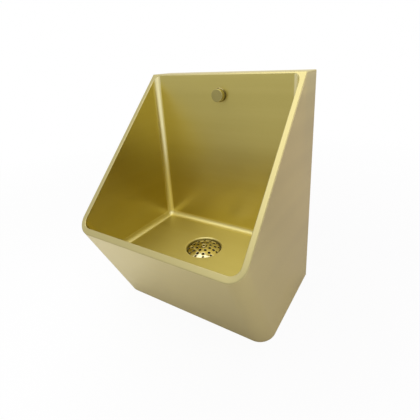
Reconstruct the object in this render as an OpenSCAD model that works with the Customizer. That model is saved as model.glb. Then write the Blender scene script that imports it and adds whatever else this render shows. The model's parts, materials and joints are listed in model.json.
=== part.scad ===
// Urinal with a slanted opening, folded and welded from gold-coated stainless sheet.
// +Z is up and +Y points at the wall. The origin is the middle of the base, under the
// middle of the whole depth, so the wall face is at +unit_d / 2 and the lip at -unit_d / 2.

/* [Casing] */
// Width across the two sides
unit_w = 350; // [320:5:380]
// Depth from the wall face to the front lip
unit_d = 320; // [305:5:340]
// Height from the base edge to the top panel
unit_h = 460; // [440:5:500]
// Depth of the flat top
top_d = 61; // [58:1:75]
// Height of the front lip above the base edge
lip_h = 195; // [180:5:215]
// Depth of the base edge from the wall face
base_d = 228; // [215:1:240]
// Radius of the two upright front corners
corner_r = 30; // [20:1:34]
// Thickness of the sheet
sheet = 1.5; // [1.2:0.1:2]
// Width of the flanges turned in along the back and base edges
return_w = 18; // [12:1:22]
// Diameter of the lower fixing holes in the back flanges
fix_hole_d = 7; // [5:0.5:9]
// Height of the lower fixing holes
fix_hole_h = 60; // [40:5:90]

/* [Rim] */
// Width of the rim along its sides, as far as the bowl's walls
rim_w = 10; // [9:0.5:14]
// Width of the rim along its front
rim_front_w = 11.5; // [9.5:0.5:14]
// Width of the rim along its top
rim_top_w = 3.6; // [2.4:0.2:6]
// Thickness of the rim
rim_t = 2; // [1.5:0.1:3]

/* [Bowl] */
// Height of the bowl's floor above the base edge
floor_h = 116; // [113:1:125]
// Radius of the bends inside the bowl
bend_r = 11; // [6:1:16]
// Radius of the bowl's two upright front corners
front_bend_r = 17; // [14:1:28]
// Distance from the bowl's back wall to the middle of the drain
drain_back = 94.5; // [85:0.5:105]
// Length of a sound pad, from side to side
pad_l = 90; // [60:5:100]
// Width of a sound pad, from front to back
pad_w = 120; // [80:5:140]
// Thickness of a sound pad
pad_t = 3; // [2:0.5:5]
// Distance from the middle of the bowl to the middle of a sound pad
pad_x = 100; // [92:1:102]

/* [Drain recess] */
// Radius of the recess pressed into the floor
sump_r = 36.4; // [35:0.2:40]
// Depth of the recess
sump_depth = 12.5; // [11:0.5:14]
// Radius of the rounded edge round the recess
sump_edge_r = 2.5; // [1.5:0.1:3.5]

/* [Waste fitting] */
// Radius of the threaded tail
tail_r = 23.9; // [23.5:0.1:24.5]
// Radius of the bore through the fitting
waste_bore_r = 21; // [20.8:0.1:21.4]
// Radius of the seat cut into the flange
seat_r = 22.9; // [22.6:0.1:23]
// Depth of that seat
seat_depth = 1.5; // [1:0.1:1.7]
// Thickness of the flange
waste_flange_t = 2; // [2:0.1:3]
// Thickness of the flange's gasket
gasket_t = 1.5; // [1:0.1:2]
// Length of the tail below the trap's cap
tail_below = 10; // [6:1:12]
// Thickness of the seal under the recess
under_seal_t = 3; // [2:0.5:4]
// Thickness of the slip washer
slip_t = 1.5; // [1:0.1:2]
// Radius of that seal and washer
under_r = 33; // [30:0.5:36]

/* [Strainer] */
// Height of the dome above the bowl's floor
dome_up = 3; // [1:0.5:6]
// Radius of the dome's curve
dome_curve_r = 88; // [75:1:120]
// Thickness of the strainer's sheet
strainer_t = 1.2; // [1:0.1:1.5]
// Diameter of the strainer's inner and middle holes
strainer_hole_d = 5.8; // [4:0.1:6]
// Diameter of the holes in the strainer's outer ring
outer_hole_d = 4.8; // [3.5:0.1:5]
// Number of holes in the inner ring
inner_holes = 8; // [6:1:8]
// Number of holes in the middle and outer rings
outer_holes = 12; // [8:1:14]
// Radius of the inner ring of holes
inner_ring_r = 14.5; // [13:0.1:15]
// Radius of the middle ring of holes
middle_ring_r = 24.2; // [23:0.1:25]
// Width of metal from the outer ring's hole centres to the edge
outer_ring_in = 2.8; // [2.6:0.1:3.2]
// Radius of the cup that holds the screw's head
cup_r = 7.5; // [7.2:0.1:8.5]
// Depth of that cup
cup_depth = 3; // [2.5:0.1:4]
// Radius of the screw's head
head_r = 5.4; // [4.5:0.1:5.6]
// Height of the screw's head
head_t = 2.6; // [2:0.1:3]
// Radius of the screw's shank
screw_r = 2.95; // [2.5:0.05:3]
// Length of the shank below the head
screw_len = 19; // [16:0.5:20]
// Thickness of the washer under the head
screw_washer_t = 1; // [0.8:0.1:1.2]
// Width across the flats of the screw's socket
socket_w = 5; // [4:0.5:5]

/* [Trap] */
// Radius of the trap's body
trap_r = 46.8; // [44:0.2:48]
// Thickness of the trap's walls
trap_wall = 3; // [2.5:0.1:4]
// Height of the trap's body
trap_h = 84.5; // [80:0.5:87]
// Thickness of the cap's top
cap_t = 6; // [5:0.5:7]
// Height of the cap's skirt below its top
cap_skirt_h = 11; // [9:0.5:12]
// Thickness of the cap's skirt
cap_skirt_t = 3; // [2.5:0.1:4]
// Number of grip ribs round the cap
cap_ribs = 24; // [12:1:30]
// Thickness of the seal under the cap
cap_seal_t = 2; // [1.5:0.1:2.5]
// Radius of the lift-out dip tube
dip_r = 20; // [19.5:0.1:20.2]
// Thickness of the dip tube's wall
dip_wall = 2.4; // [2:0.1:3]
// Gap under the dip tube
dip_gap = 7; // [5:0.5:10]
// Width of the bar across the dip tube
bar_w = 7; // [5:0.5:9]
// Height of that bar
bar_h = 8; // [6:0.5:9]
// Depth of the sealing ring's groove below the tube's top
ring_below = 11; // [10:0.5:14]
// Thickness of the sealing ring
ring_t = 2; // [1.5:0.1:2.5]

/* [Outlet] */
// Height of the outlet's axis above the trap's underside
outlet_up = 51; // [48:0.5:54]
// Radius of the outlet pipe
outlet_r = 20; // [18:0.5:20.5]
// Thickness of the pipe's wall
outlet_wall = 2; // [1.5:0.1:3]
// Length of the thicker neck behind the pipe's collar
outlet_neck = 8; // [6:0.5:10]
// Extra thickness of that neck
outlet_neck_t = 0.5; // [0.4:0.1:0.8]
// Radius of the trap's threaded spigot
spigot_r = 22; // [21.8:0.1:22.5]
// Length of the spigot from the trap's axis
spigot_len = 60; // [58:0.5:64]
// Width across the flats of the outlet's union nut
outlet_nut_af = 52; // [50:1:54]
// Length of that nut over the spigot
outlet_nut_over = 8; // [6:0.5:8]

/* [Flush fitting] */
// Distance of the spreader's axis below the top
spreader_drop = 42; // [32:1:52]
// Radius of the spreader's cap
spreader_r = 13; // [12.5:0.5:15]
// Distance that the cap stands out from the bowl's back wall
spreader_out = 13; // [11:0.5:16]
// Number of spray holes in the cap
spray_holes = 7; // [3:2:9]
// Diameter of a spray hole
spray_d = 1.8; // [1.2:0.1:2]
// Radius of the threaded shank
shank_r = 10.48; // [9.5:0.02:10.5]
// Radius of the bore through the shank and tail
flush_bore_r = 7; // [5:0.5:7]
// Length of the shank behind the bowl's back wall
shank_back = 26; // [24:1:28]
// Width across the flats of the back nut
back_nut_af = 30; // [26:1:32]
// Length of the back nut
back_nut_t = 7; // [5:0.5:8]
// Width across the flats of the inlet's union nut
inlet_nut_af = 27; // [26:1:30]
// Length of the inlet's threaded end
inlet_thread = 16; // [12:1:18]

/* [Hanging] */
// Distance of the hanging rail's top below the casing's top
rail_drop = 88; // [80:2:110]
// Thickness of the rail and of the wall bracket
hang_t = 2.5; // [2:0.1:3]
// Length of the rail's rear leg
rail_hook = 16; // [12:1:18]
// Length of the rail's front leg
rail_front = 32; // [24:1:40]
// Distance from the rail's rear leg to the wall
rail_off = 8; // [6:0.5:10]
// Length of the wall bracket from side to side
bracket_w = 240; // [200:5:260]
// Height of the wall bracket's plate
bracket_h = 62; // [50:2:70]
// Distance between the bracket's two screw holes
bracket_pitch = 180; // [140:5:190]
// Diameter of those holes
bracket_hole_d = 8.5; // [6:0.5:10]

/* [Clearances] */
// Running gap on the radius between a nut or screw and its thread
run_gap = 0.05; // [0.03:0.01:0.1]
// Gap between loose pieces that lie against each other
rest_gap = 0.3; // [0.2:0.05:0.4]
// Gap between a fixed piece and what passes through it
fit_gap = 0.6; // [0.4:0.1:0.8]
// Gap between the drain recess and the pieces that drop into it
sump_gap = 0.9; // [0.5:0.1:1.5]
// Gap between the drain recess and the strainer
strainer_gap = 1.9; // [1.6:0.1:2.5]
// Gap between a pipe's end and the wall face
wall_gap = 2; // [1:0.5:4]

/* [Hidden] */
$fn = 96;

gold = [0.72, 0.62, 0.34];
bright_gold = [0.86, 0.77, 0.47];
steel = [0.62, 0.63, 0.65];
brass = [0.70, 0.58, 0.30];
grey_plastic = [0.72, 0.73, 0.73];
black_rubber = [0.10, 0.10, 0.11];
felt = [0.20, 0.20, 0.21];

// The side view, as (y, z): wall face, lip, the top's front edge and the base's front edge.
y_wall = unit_d / 2;
y_lip = -unit_d / 2;
y_top = y_wall - top_d;
y_base = y_wall - base_d;
slope = atan2(unit_h - lip_h, y_top - y_lip);
lean = atan2(y_base - y_lip, lip_h);
far = unit_d + unit_h;
cut = 1;
bend_ease = 0.02;

// The bowl inside it. Its front wall is parallel to the apron.
y_bowl = y_top - rim_top_w * cos(slope);
bowl_half = unit_w / 2 - rim_w;
front_in = rim_front_w * cos(slope - lean);
drain_y = y_bowl - drain_back;
y_front_bend = y_lip + (front_in + bend_r - (floor_h + bend_r - lip_h) * sin(lean)) / cos(lean);

// Heights of the waste fitting and the trap, from the drain recess down.
sump_z = floor_h - sump_depth;
flange_z = sump_z + gasket_t;
flange_top_z = flange_z + waste_flange_t;
seal_z = sump_z - sheet - under_seal_t;
cap_top_z = seal_z - slip_t;
cap_z = cap_top_z - cap_t;
trap_top_z = cap_z - cap_seal_t;
trap_z = trap_top_z - trap_h;
tail_z = cap_z - tail_below;
outlet_z = trap_z + outlet_up;
waste_flange_r = sump_r - sump_gap;
tail_hole_r = tail_r + fit_gap;
trap_inner_r = trap_r - trap_wall;

// The dip tube hangs in the fitting's seat, with its bar across the top.
dip_top_z = flange_top_z;
dip_z = trap_z + trap_wall + dip_gap;
dip_flange_r = seat_r - rest_gap;
ring_z = dip_top_z - ring_below;
ring_r = waste_bore_r - 2 * run_gap;
ring_depth = 0.8;
bar_boss_r = 6;

// The strainer stands on the fitting's flange.
strainer_r = sump_r - strainer_gap;
dome_top_z = floor_h + dome_up;
dome_middle_z = dome_top_z - dome_curve_r;
cup_z = dome_top_z - cup_depth;
head_z = cup_z + screw_washer_t;
outer_ring_r = strainer_r - outer_ring_in;
hole_drop = 9.5;

// The outlet's union, measured from the trap's axis.
union_seal_t = 3;
union_collar_t = 3;
union_lip_t = 3;
collar_end = spigot_len + union_seal_t + union_collar_t;
outlet_nut_start = spigot_len - outlet_nut_over;
outlet_end = y_wall - wall_gap - drain_y;
outlet_neck_r = outlet_r + outlet_neck_t;

// The flush fitting, as distances along Y.
spreader_h = unit_h - spreader_drop;
cap_face_y = y_bowl - spreader_out;
spreader_wall = 2;
body_flange_t = 2;
body_gasket_t = 1;
body_flange_y = y_bowl - body_gasket_t - body_flange_t;
nose_r = 9;
nose_y = cap_face_y + 5;
shank_end_y = y_bowl + sheet + shank_back;
back_washer_t = 1.5;
inlet_seal_t = 2;
inlet_collar_t = 3;
inlet_collar_y = shank_end_y + inlet_seal_t;
inlet_tube_r = flush_bore_r + 1.5;
inlet_nut_over = 10;
inlet_end_y = y_wall - wall_gap;

// The hanging rail's channel drops over the bracket's turned-up edge.
rail_top_h = unit_h - rail_drop;
hook_gap = 1;
rail_y = y_wall - rail_off - 3 * hang_t - 2 * hook_gap;
bracket_lip_y = rail_y + hang_t + hook_gap;
bracket_lip_z = rail_top_h - hang_t - rest_gap;
bracket_step_z = rail_top_h - rail_hook - 2 * hang_t - hook_gap - rest_gap;
bracket_z = bracket_step_z + hang_t - bracket_h;
bracket_hole_z = bracket_z + bracket_h / 2;

// A bar along X whose section is given as (y, z) points.
module side_bar(pts, width) {
    rotate([90, 0, 90]) linear_extrude(width, center = true) polygon(pts);
}

// A round piece along the flush fitting's axis, starting at y.
module on_flush_axis(y) {
    translate([0, y, spreader_h]) rotate([-90, 0, 0]) children();
}

// A round piece along the outlet's axis, starting at a distance from the trap's axis.
module on_outlet_axis(distance) {
    translate([0, drain_y + distance, outlet_z]) rotate([-90, 0, 0]) children();
}

// A round piece on the drain's axis, starting at height z.
module on_drain(z) {
    translate([0, drain_y, z]) children();
}

module ring(outer, inner, height) {
    difference() {
        cylinder(r = outer, h = height);
        translate([0, 0, -cut]) cylinder(r = inner, h = height + 2 * cut);
    }
}

module hex_nut(across_flats, inner, height) {
    difference() {
        cylinder(r = across_flats / 2 / cos(30), h = height, $fn = 6);
        translate([0, 0, -cut]) cylinder(r = inner, h = height + 2 * cut);
    }
}

// What a bend takes off a sharp corner at +X +Y, seen from its end. The bend is drawn a hair
// too large, so that it crosses the two walls and doesn't only touch them.
module corner_waste(r) {
    difference() {
        square(r + cut);
        circle(r + bend_ease);
    }
}

// The outline of the casing or bowl seen along the apron: a front with two round corners.
module front_outline(half, r, near) {
    difference() {
        translate([-half, near]) square([2 * half, far]);
        for (side = [0, 1]) mirror([side, 0]) translate([half - r, near + r])
            mirror([0, 1]) corner_waste(r);
    }
}

// That outline carried along the apron's slope, past the top and the base.
module apron_bar(half, r, near) {
    translate([0, y_lip, lip_h]) rotate([lean, 0, 0]) translate([0, 0, -far])
        linear_extrude(2 * far) front_outline(half, r, near);
}

// The rim plane, set in by a depth: y at a height, and points well past its two ends.
function rim_y(z, depth) = y_lip + depth * sin(slope)
    + (z - lip_h + depth * cos(slope)) / tan(slope);
low_z = lip_h / 2;
function rim_low(depth) = [rim_y(low_z, depth), low_z];
function rim_high(depth) = [rim_y(far, depth), far];

// What is left between a sharp corner at +X +Y and its bend, along Z.
module bend_fill(r, length) {
    linear_extrude(length, center = true) corner_waste(r);
}

// The bowl's inner space, made larger all round by grow.
module bowl_space(grow) {
    r = bend_r + grow;
    half_in = bowl_half - bend_r;
    floor_z = floor_h - grow;
    bend_z = floor_h + bend_r;
    difference() {
        intersection() {
            apron_bar(bowl_half + grow, front_bend_r + grow, front_in - grow);
            side_bar([[-far, floor_z], [y_bowl + grow, floor_z], [y_bowl + grow, far],
                [-far, far]], unit_w);
        }
        for (side = [0, 1]) mirror([side, 0, 0]) {
            translate([half_in, y_bowl - bend_r, unit_h / 2]) bend_fill(r, far);
            translate([half_in, 0, bend_z]) rotate([90, 0, 0]) mirror([0, 1, 0])
                bend_fill(r, far);
        }
        translate([0, y_bowl - bend_r, bend_z]) rotate([90, 0, 90]) mirror([0, 1, 0])
            bend_fill(r, unit_w);
        front_fill(r);
    }
}

// The same for the bend between the bowl's floor and its leaning front wall.
module front_fill(r) {
    side = r + cut;
    corner = side / (1 + sin(lean));
    translate([0, y_front_bend, floor_h + bend_r]) rotate([90, 0, 90])
        linear_extrude(unit_w, center = true) difference() {
            polygon([[0, 0], [-side * cos(lean), -side * sin(lean)],
                [-corner * cos(lean), -corner * (1 + sin(lean))], [0, -side]]);
            circle(r + bend_ease);
        }
}

module outer_shell() {
    under_top = unit_h - sheet;
    inner_w = unit_w - 2 * return_w;
    color(gold) difference() {
        intersection() {
            apron_bar(unit_w / 2, corner_r, 0);
            side_bar([[y_wall, 0], [y_wall, under_top], [rim_y(under_top, rim_t), under_top],
                rim_low(rim_t), [-far, low_z], [-far, 0]], unit_w + 2 * cut);
        }
        intersection() {
            apron_bar(unit_w / 2 - sheet, corner_r - sheet, sheet);
            side_bar([[y_wall - sheet, sheet], [y_wall - sheet, far], [-far, far],
                [-far, sheet]], unit_w);
        }
        translate([-inner_w / 2, y_base + return_w, -cut]) cube([inner_w, base_d, far]);
        for (side = [-1, 1])
            translate([side * (unit_w - return_w) / 2, y_wall - 2 * sheet, fix_hole_h])
                rotate([-90, 0, 0]) cylinder(d = fix_hole_d, h = 3 * sheet);
    }
}

module top_panel() {
    under_top = unit_h - sheet;
    back_w = unit_w - 2 * return_w - 2 * fit_gap;
    color(gold) {
        side_bar([[rim_y(unit_h, rim_t), unit_h], [y_wall, unit_h], [y_wall, under_top],
            [rim_y(under_top, rim_t), under_top]], unit_w);
        translate([-back_w / 2, y_wall - sheet, unit_h - return_w])
            cube([back_w, sheet, return_w - sheet / 2]);
    }
}

module rim_frame() {
    color(bright_gold) difference() {
        intersection() {
            apron_bar(unit_w / 2, corner_r, 0);
            side_bar([rim_low(0), [y_top, unit_h], [rim_y(unit_h, rim_t), unit_h],
                rim_low(rim_t)], unit_w + 2 * cut);
        }
        bowl_space(0);
    }
}

module bowl() {
    color(gold) difference() {
        union() {
            intersection() {
                bowl_space(sheet);
                side_bar([rim_high(rim_t), rim_low(rim_t), [-far, low_z], [-far, 0], [far, 0]],
                    unit_w + 2 * cut);
            }
            on_drain(sump_z - sheet) cylinder(r = sump_r + sheet, h = sump_depth + sheet / 2);
        }
        bowl_space(0);
        on_drain(sump_z) cylinder(r = sump_r, h = sump_depth + cut);
        on_drain(floor_h - sump_edge_r) rotate_extrude() difference() {
            translate([sump_r - cut, 0]) square([sump_edge_r + cut, sump_edge_r + cut]);
            translate([sump_r + sump_edge_r, 0]) circle(sump_edge_r);
        }
        on_drain(sump_z - 2 * sheet) cylinder(r = tail_hole_r, h = 3 * sheet);
        on_flush_axis(y_bowl - cut) cylinder(r = shank_r + fit_gap, h = sheet + 2 * cut);
    }
}

module sound_pads() {
    color(felt) for (side = [-1, 1])
        translate([side * pad_x - pad_l / 2, drain_y - pad_w / 2, floor_h - sheet - pad_t])
            cube([pad_l, pad_w, pad_t]);
}

module hanging_rail() {
    rear_y = rail_y + 2 * hang_t + 2 * hook_gap;
    color(steel) side_bar([[rail_y, rail_top_h - rail_front], [rail_y, rail_top_h],
        [rear_y + hang_t, rail_top_h], [rear_y + hang_t, rail_top_h - rail_hook],
        [rear_y, rail_top_h - rail_hook], [rear_y, rail_top_h - hang_t],
        [rail_y + hang_t, rail_top_h - hang_t], [rail_y + hang_t, rail_top_h - rail_front]],
        unit_w - 2 * sheet);
}

module wall_bracket() {
    color(steel) difference() {
        side_bar([[y_wall, bracket_z], [y_wall, bracket_step_z + hang_t],
            [bracket_lip_y + hang_t, bracket_step_z + hang_t],
            [bracket_lip_y + hang_t, bracket_lip_z], [bracket_lip_y, bracket_lip_z],
            [bracket_lip_y, bracket_step_z], [y_wall - hang_t, bracket_step_z],
            [y_wall - hang_t, bracket_z]], bracket_w);
        for (side = [-1, 1])
            translate([side * bracket_pitch / 2, y_wall - hang_t - cut, bracket_hole_z])
                rotate([-90, 0, 0]) cylinder(d = bracket_hole_d, h = hang_t + 2 * cut);
    }
}

module waste_body() {
    color(bright_gold) difference() {
        union() {
            on_drain(flange_z) cylinder(r = waste_flange_r, h = waste_flange_t);
            on_drain(tail_z) cylinder(r = tail_r, h = flange_z - tail_z + waste_flange_t / 2);
        }
        on_drain(tail_z - cut) cylinder(r = waste_bore_r, h = flange_top_z - tail_z + 2 * cut);
        on_drain(flange_top_z - seat_depth) cylinder(r = seat_r, h = seat_depth + cut);
    }
}

module waste_gasket() {
    color(black_rubber) on_drain(sump_z) ring(waste_flange_r - sump_gap, tail_hole_r, gasket_t);
}

module under_seal() {
    color(black_rubber) on_drain(seal_z) ring(under_r, tail_r + run_gap, under_seal_t);
}

module slip_washer() {
    color(grey_plastic) on_drain(cap_top_z) ring(under_r, tail_r + run_gap, slip_t);
}

module trap_cap() {
    skirt_r = trap_r + run_gap;
    boss_r = tail_r + trap_wall;
    rib_r = 1.5;
    color(grey_plastic) difference() {
        union() {
            on_drain(cap_z - cap_skirt_h)
                cylinder(r = skirt_r + cap_skirt_t, h = cap_skirt_h + cap_t);
            for (i = [0 : cap_ribs - 1]) on_drain(cap_z - cap_skirt_h)
                rotate([0, 0, (i + 0.5) * 360 / cap_ribs])
                    translate([skirt_r + cap_skirt_t - rib_r / 3, 0, 0])
                        cylinder(r = rib_r, h = cap_skirt_h + cap_t / 2, $fn = 24);
        }
        on_drain(cap_z - cap_skirt_h - cut) ring(skirt_r, boss_r, cap_skirt_h + cut);
        on_drain(cap_z - cap_skirt_h - cut)
            cylinder(r = tail_r + run_gap, h = cap_skirt_h + cap_t + 2 * cut);
    }
}

module trap_cap_seal() {
    color(black_rubber) on_drain(trap_top_z) ring(trap_r, trap_inner_r, cap_seal_t);
}

module trap_body() {
    bore_r = outlet_r - outlet_wall;
    color(grey_plastic) difference() {
        union() {
            on_drain(trap_z) cylinder(r = trap_r, h = trap_h);
            on_outlet_axis(0) cylinder(r = spigot_r, h = spigot_len);
        }
        on_drain(trap_z + trap_wall) cylinder(r = trap_inner_r, h = trap_h);
        on_outlet_axis(0) cylinder(r = bore_r, h = spigot_len + cut);
    }
}

module dip_tube() {
    top = dip_top_z - dip_z;
    color(grey_plastic) {
        difference() {
            union() {
                on_drain(dip_z) cylinder(r = dip_r, h = top);
                on_drain(dip_top_z - seat_depth) cylinder(r = dip_flange_r, h = seat_depth);
            }
            on_drain(dip_z - cut) cylinder(r = dip_r - dip_wall, h = top + 2 * cut);
            on_drain(ring_z) ring(dip_r + cut, ring_r - ring_depth, ring_t);
        }
        difference() {
            on_drain(dip_top_z - bar_h) union() {
                translate([-dip_r + dip_wall / 2, -bar_w / 2, 0])
                    cube([2 * dip_r - dip_wall, bar_w, bar_h]);
                cylinder(r = bar_boss_r, h = bar_h);
            }
            on_drain(dip_top_z - bar_h - cut)
                cylinder(r = screw_r + run_gap, h = bar_h + 2 * cut);
        }
    }
}

module dip_tube_ring() {
    color(black_rubber) on_drain(ring_z) ring(ring_r, ring_r - ring_depth, ring_t);
}

// The half section of the strainer: a cap of a sphere on a short upright wall.
module dome_section() {
    wall_h = dome_top_z - flange_top_z;
    difference() {
        intersection() {
            translate([0, dome_middle_z - flange_top_z]) circle(dome_curve_r, $fn = 360);
            square([strainer_r, wall_h]);
        }
        intersection() {
            translate([0, dome_middle_z - flange_top_z])
                circle(dome_curve_r - strainer_t, $fn = 360);
            translate([-cut, -cut]) square([strainer_r - strainer_t + cut, wall_h + cut]);
        }
    }
}

module strainer_dome() {
    color(bright_gold) difference() {
        union() {
            on_drain(flange_top_z) rotate_extrude() dome_section();
            on_drain(cup_z - strainer_t)
                cylinder(r = cup_r, h = cup_depth + strainer_t / 2);
        }
        on_drain(cup_z) cylinder(r = cup_r - strainer_t, h = cup_depth + cut);
        on_drain(cup_z - 2 * strainer_t)
            cylinder(r = screw_r + rest_gap, h = 3 * strainer_t);
        ring_of_holes(inner_ring_r, inner_holes, strainer_hole_d);
        ring_of_holes(middle_ring_r, outer_holes, strainer_hole_d);
        ring_of_holes(outer_ring_r, outer_holes, outer_hole_d);
    }
}

module ring_of_holes(r, count, d) {
    for (i = [0 : count - 1]) on_drain(dome_top_z - hole_drop)
        rotate([0, 0, i * 360 / count]) translate([r, 0, 0])
            cylinder(d = d, h = hole_drop + cut, $fn = 32);
}

module strainer_washer() {
    color(steel) on_drain(cup_z) ring(head_r + rest_gap, screw_r + run_gap, screw_washer_t);
}

module strainer_screw() {
    color(bright_gold) on_drain(head_z) difference() {
        union() {
            cylinder(r = head_r, h = head_t);
            translate([0, 0, -screw_len]) cylinder(r = screw_r, h = screw_len + head_t / 2);
        }
        translate([0, 0, head_t / 3])
            cylinder(r = socket_w / 2 / cos(30), h = head_t, $fn = 6);
    }
}

module outlet_seal() {
    color(black_rubber) on_outlet_axis(spigot_len)
        ring(spigot_r, outlet_r - outlet_wall, union_seal_t);
}

module outlet_nut() {
    start = outlet_nut_start;
    color(grey_plastic) difference() {
        on_outlet_axis(start)
            hex_nut(outlet_nut_af, outlet_neck_r + rest_gap, collar_end + union_lip_t - start);
        on_outlet_axis(start - cut)
            cylinder(r = spigot_r + run_gap, h = collar_end + rest_gap - start + cut);
    }
}

module outlet_pipe() {
    start = spigot_len + union_seal_t;
    color(grey_plastic) difference() {
        union() {
            on_outlet_axis(start) cylinder(r = outlet_r, h = outlet_end - start);
            on_outlet_axis(start) cylinder(r = outlet_neck_r, h = union_collar_t + outlet_neck);
            on_outlet_axis(start) cylinder(r = spigot_r, h = union_collar_t);
        }
        on_outlet_axis(start - cut)
            cylinder(r = outlet_r - outlet_wall, h = outlet_end - start + 2 * cut);
    }
}

module spreader_cap() {
    depth = body_flange_y - rest_gap - cap_face_y;
    fan = 120;
    color(bright_gold) difference() {
        on_flush_axis(cap_face_y) cylinder(r = spreader_r, h = depth);
        on_flush_axis(cap_face_y + spreader_wall)
            cylinder(r = nose_r + run_gap, h = depth);
        for (i = [0 : spray_holes - 1])
            on_flush_axis((cap_face_y + spreader_wall + nose_y) / 2)
                rotate([0, 0, (i / (spray_holes - 1) - 0.5) * fan]) rotate([-90, 0, 0])
                    cylinder(d = spray_d, h = spreader_r + cut, $fn = 24);
    }
}

module spreader_body() {
    color(bright_gold) difference() {
        union() {
            on_flush_axis(nose_y) cylinder(r = nose_r, h = body_flange_y - nose_y + cut);
            on_flush_axis(body_flange_y) cylinder(r = spreader_r + 1, h = body_flange_t);
            on_flush_axis(body_flange_y + cut)
                cylinder(r = shank_r, h = shank_end_y - body_flange_y - cut);
        }
        on_flush_axis(nose_y - cut)
            cylinder(r = flush_bore_r, h = shank_end_y - nose_y + 2 * cut);
    }
}

module spreader_gasket() {
    color(black_rubber) on_flush_axis(y_bowl - body_gasket_t)
        ring(spreader_r, shank_r + run_gap, body_gasket_t);
}

module back_washer() {
    color(steel) on_flush_axis(y_bowl + sheet)
        ring(back_nut_af / 2, shank_r + run_gap, back_washer_t);
}

module back_nut() {
    color(brass) on_flush_axis(y_bowl + sheet + back_washer_t)
        hex_nut(back_nut_af, shank_r + run_gap, back_nut_t);
}

module inlet_seal() {
    color(black_rubber) on_flush_axis(shank_end_y)
        ring(shank_r - rest_gap, flush_bore_r, inlet_seal_t);
}

module inlet_nut() {
    start = shank_end_y - inlet_nut_over;
    shoulder = inlet_collar_y + inlet_collar_t + rest_gap;
    color(brass) difference() {
        on_flush_axis(start)
            hex_nut(inlet_nut_af, inlet_tube_r + rest_gap, shoulder + union_lip_t - start);
        on_flush_axis(start - cut) cylinder(r = shank_r + run_gap, h = shoulder - start + cut);
    }
}

module inlet_tail() {
    color(brass) difference() {
        union() {
            on_flush_axis(inlet_collar_y)
                cylinder(r = shank_r - rest_gap, h = inlet_collar_t);
            on_flush_axis(inlet_collar_y)
                cylinder(r = inlet_tube_r, h = inlet_end_y - inlet_collar_y - cut);
            on_flush_axis(inlet_end_y - inlet_thread) cylinder(r = shank_r, h = inlet_thread);
        }
        on_flush_axis(inlet_collar_y - cut)
            cylinder(r = flush_bore_r, h = inlet_end_y - inlet_collar_y + 2 * cut);
    }
}

outer_shell();
top_panel();
rim_frame();
bowl();
sound_pads();
hanging_rail();
wall_bracket();
waste_body();
waste_gasket();
under_seal();
slip_washer();
trap_cap();
trap_cap_seal();
trap_body();
dip_tube();
dip_tube_ring();
strainer_dome();
strainer_washer();
strainer_screw();
outlet_seal();
outlet_nut();
outlet_pipe();
spreader_cap();
spreader_body();
spreader_gasket();
back_washer();
back_nut();
inlet_seal();
inlet_nut();
inlet_tail();
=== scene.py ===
"""Visual model of a slant-fronted urinal, folded and welded from gold-coated sheet.

Lengths are in millimetres until a mesh is made. +X is right, +Y points at the wall, +Z is up,
and the origin is the middle of the base. Each piece stands where its CAD node stands.
"""
import json
import logging
import math
from collections.abc import Callable
from dataclasses import dataclass, field
from enum import Enum
from functools import cache

import bpy
import numpy as np
from mathutils import Matrix, Vector
from mathutils.geometry import delaunay_2d_cdt

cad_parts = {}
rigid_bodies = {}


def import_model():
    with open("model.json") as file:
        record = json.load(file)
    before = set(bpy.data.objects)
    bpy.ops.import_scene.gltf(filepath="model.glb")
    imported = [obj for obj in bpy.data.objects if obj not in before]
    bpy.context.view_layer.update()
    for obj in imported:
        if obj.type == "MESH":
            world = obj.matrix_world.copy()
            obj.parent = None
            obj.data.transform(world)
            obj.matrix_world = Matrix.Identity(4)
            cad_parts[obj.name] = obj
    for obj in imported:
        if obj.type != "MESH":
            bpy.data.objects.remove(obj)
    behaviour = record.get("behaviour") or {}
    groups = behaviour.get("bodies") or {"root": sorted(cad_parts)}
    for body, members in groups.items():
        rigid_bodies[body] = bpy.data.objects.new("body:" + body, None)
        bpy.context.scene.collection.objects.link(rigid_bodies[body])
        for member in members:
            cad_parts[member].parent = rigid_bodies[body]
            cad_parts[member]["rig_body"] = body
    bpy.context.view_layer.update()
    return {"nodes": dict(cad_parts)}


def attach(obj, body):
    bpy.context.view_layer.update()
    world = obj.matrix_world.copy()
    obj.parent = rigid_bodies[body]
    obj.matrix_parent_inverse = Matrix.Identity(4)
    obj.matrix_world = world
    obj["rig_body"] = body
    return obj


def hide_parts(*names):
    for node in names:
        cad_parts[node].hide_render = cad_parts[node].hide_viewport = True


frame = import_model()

MM = 0.001
GRAIN = "grain"
FACETS = 96  # round a plain turning
CLEAR = 0.05  # between a turned piece and what it goes about
RIGHT = np.array([1.0, 0.0, 0.0])
UP = np.array([0.0, 0.0, 1.0])
BACK = np.array([0.0, 1.0, 0.0])
Array = np.ndarray
Triple = tuple[float, float, float]
Material, Socket = bpy.types.Material, bpy.types.NodeSocket

logging.basicConfig(level=logging.INFO, format="%(message)s")
log = logging.getLogger("urinal")


class Grain(Enum):
    """How a patch's grain runs."""

    LEVEL = "level round the walls"
    ACROSS = "from side to side on a flat"
    ALONG = "along the patch's columns"


class Axis(Enum):
    """The axis that a turned piece stands on."""

    UPRIGHT = "up"
    REARWARD = "towards the wall"


# Arrays ------------------------------------------------------------------------------------


def unit(v: Array) -> Array:
    """Vectors along the last axis divided by their lengths."""
    return v / np.maximum(np.linalg.norm(v, axis=-1, keepdims=True), 1e-12)


def dot(a: Array, b: Array) -> Array:
    """Products of vectors along the last axis, with that axis kept."""
    return np.sum(a * b, axis=-1, keepdims=True)


def quarter(steps: int) -> Array:
    """Even angles of a quarter turn."""
    return np.linspace(0, np.pi / 2, steps + 1)


def compass(a: Array) -> Array:
    """Level unit vectors at angles from +X."""
    return np.stack([np.cos(a), np.sin(a), 0 * a], -1)


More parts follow.
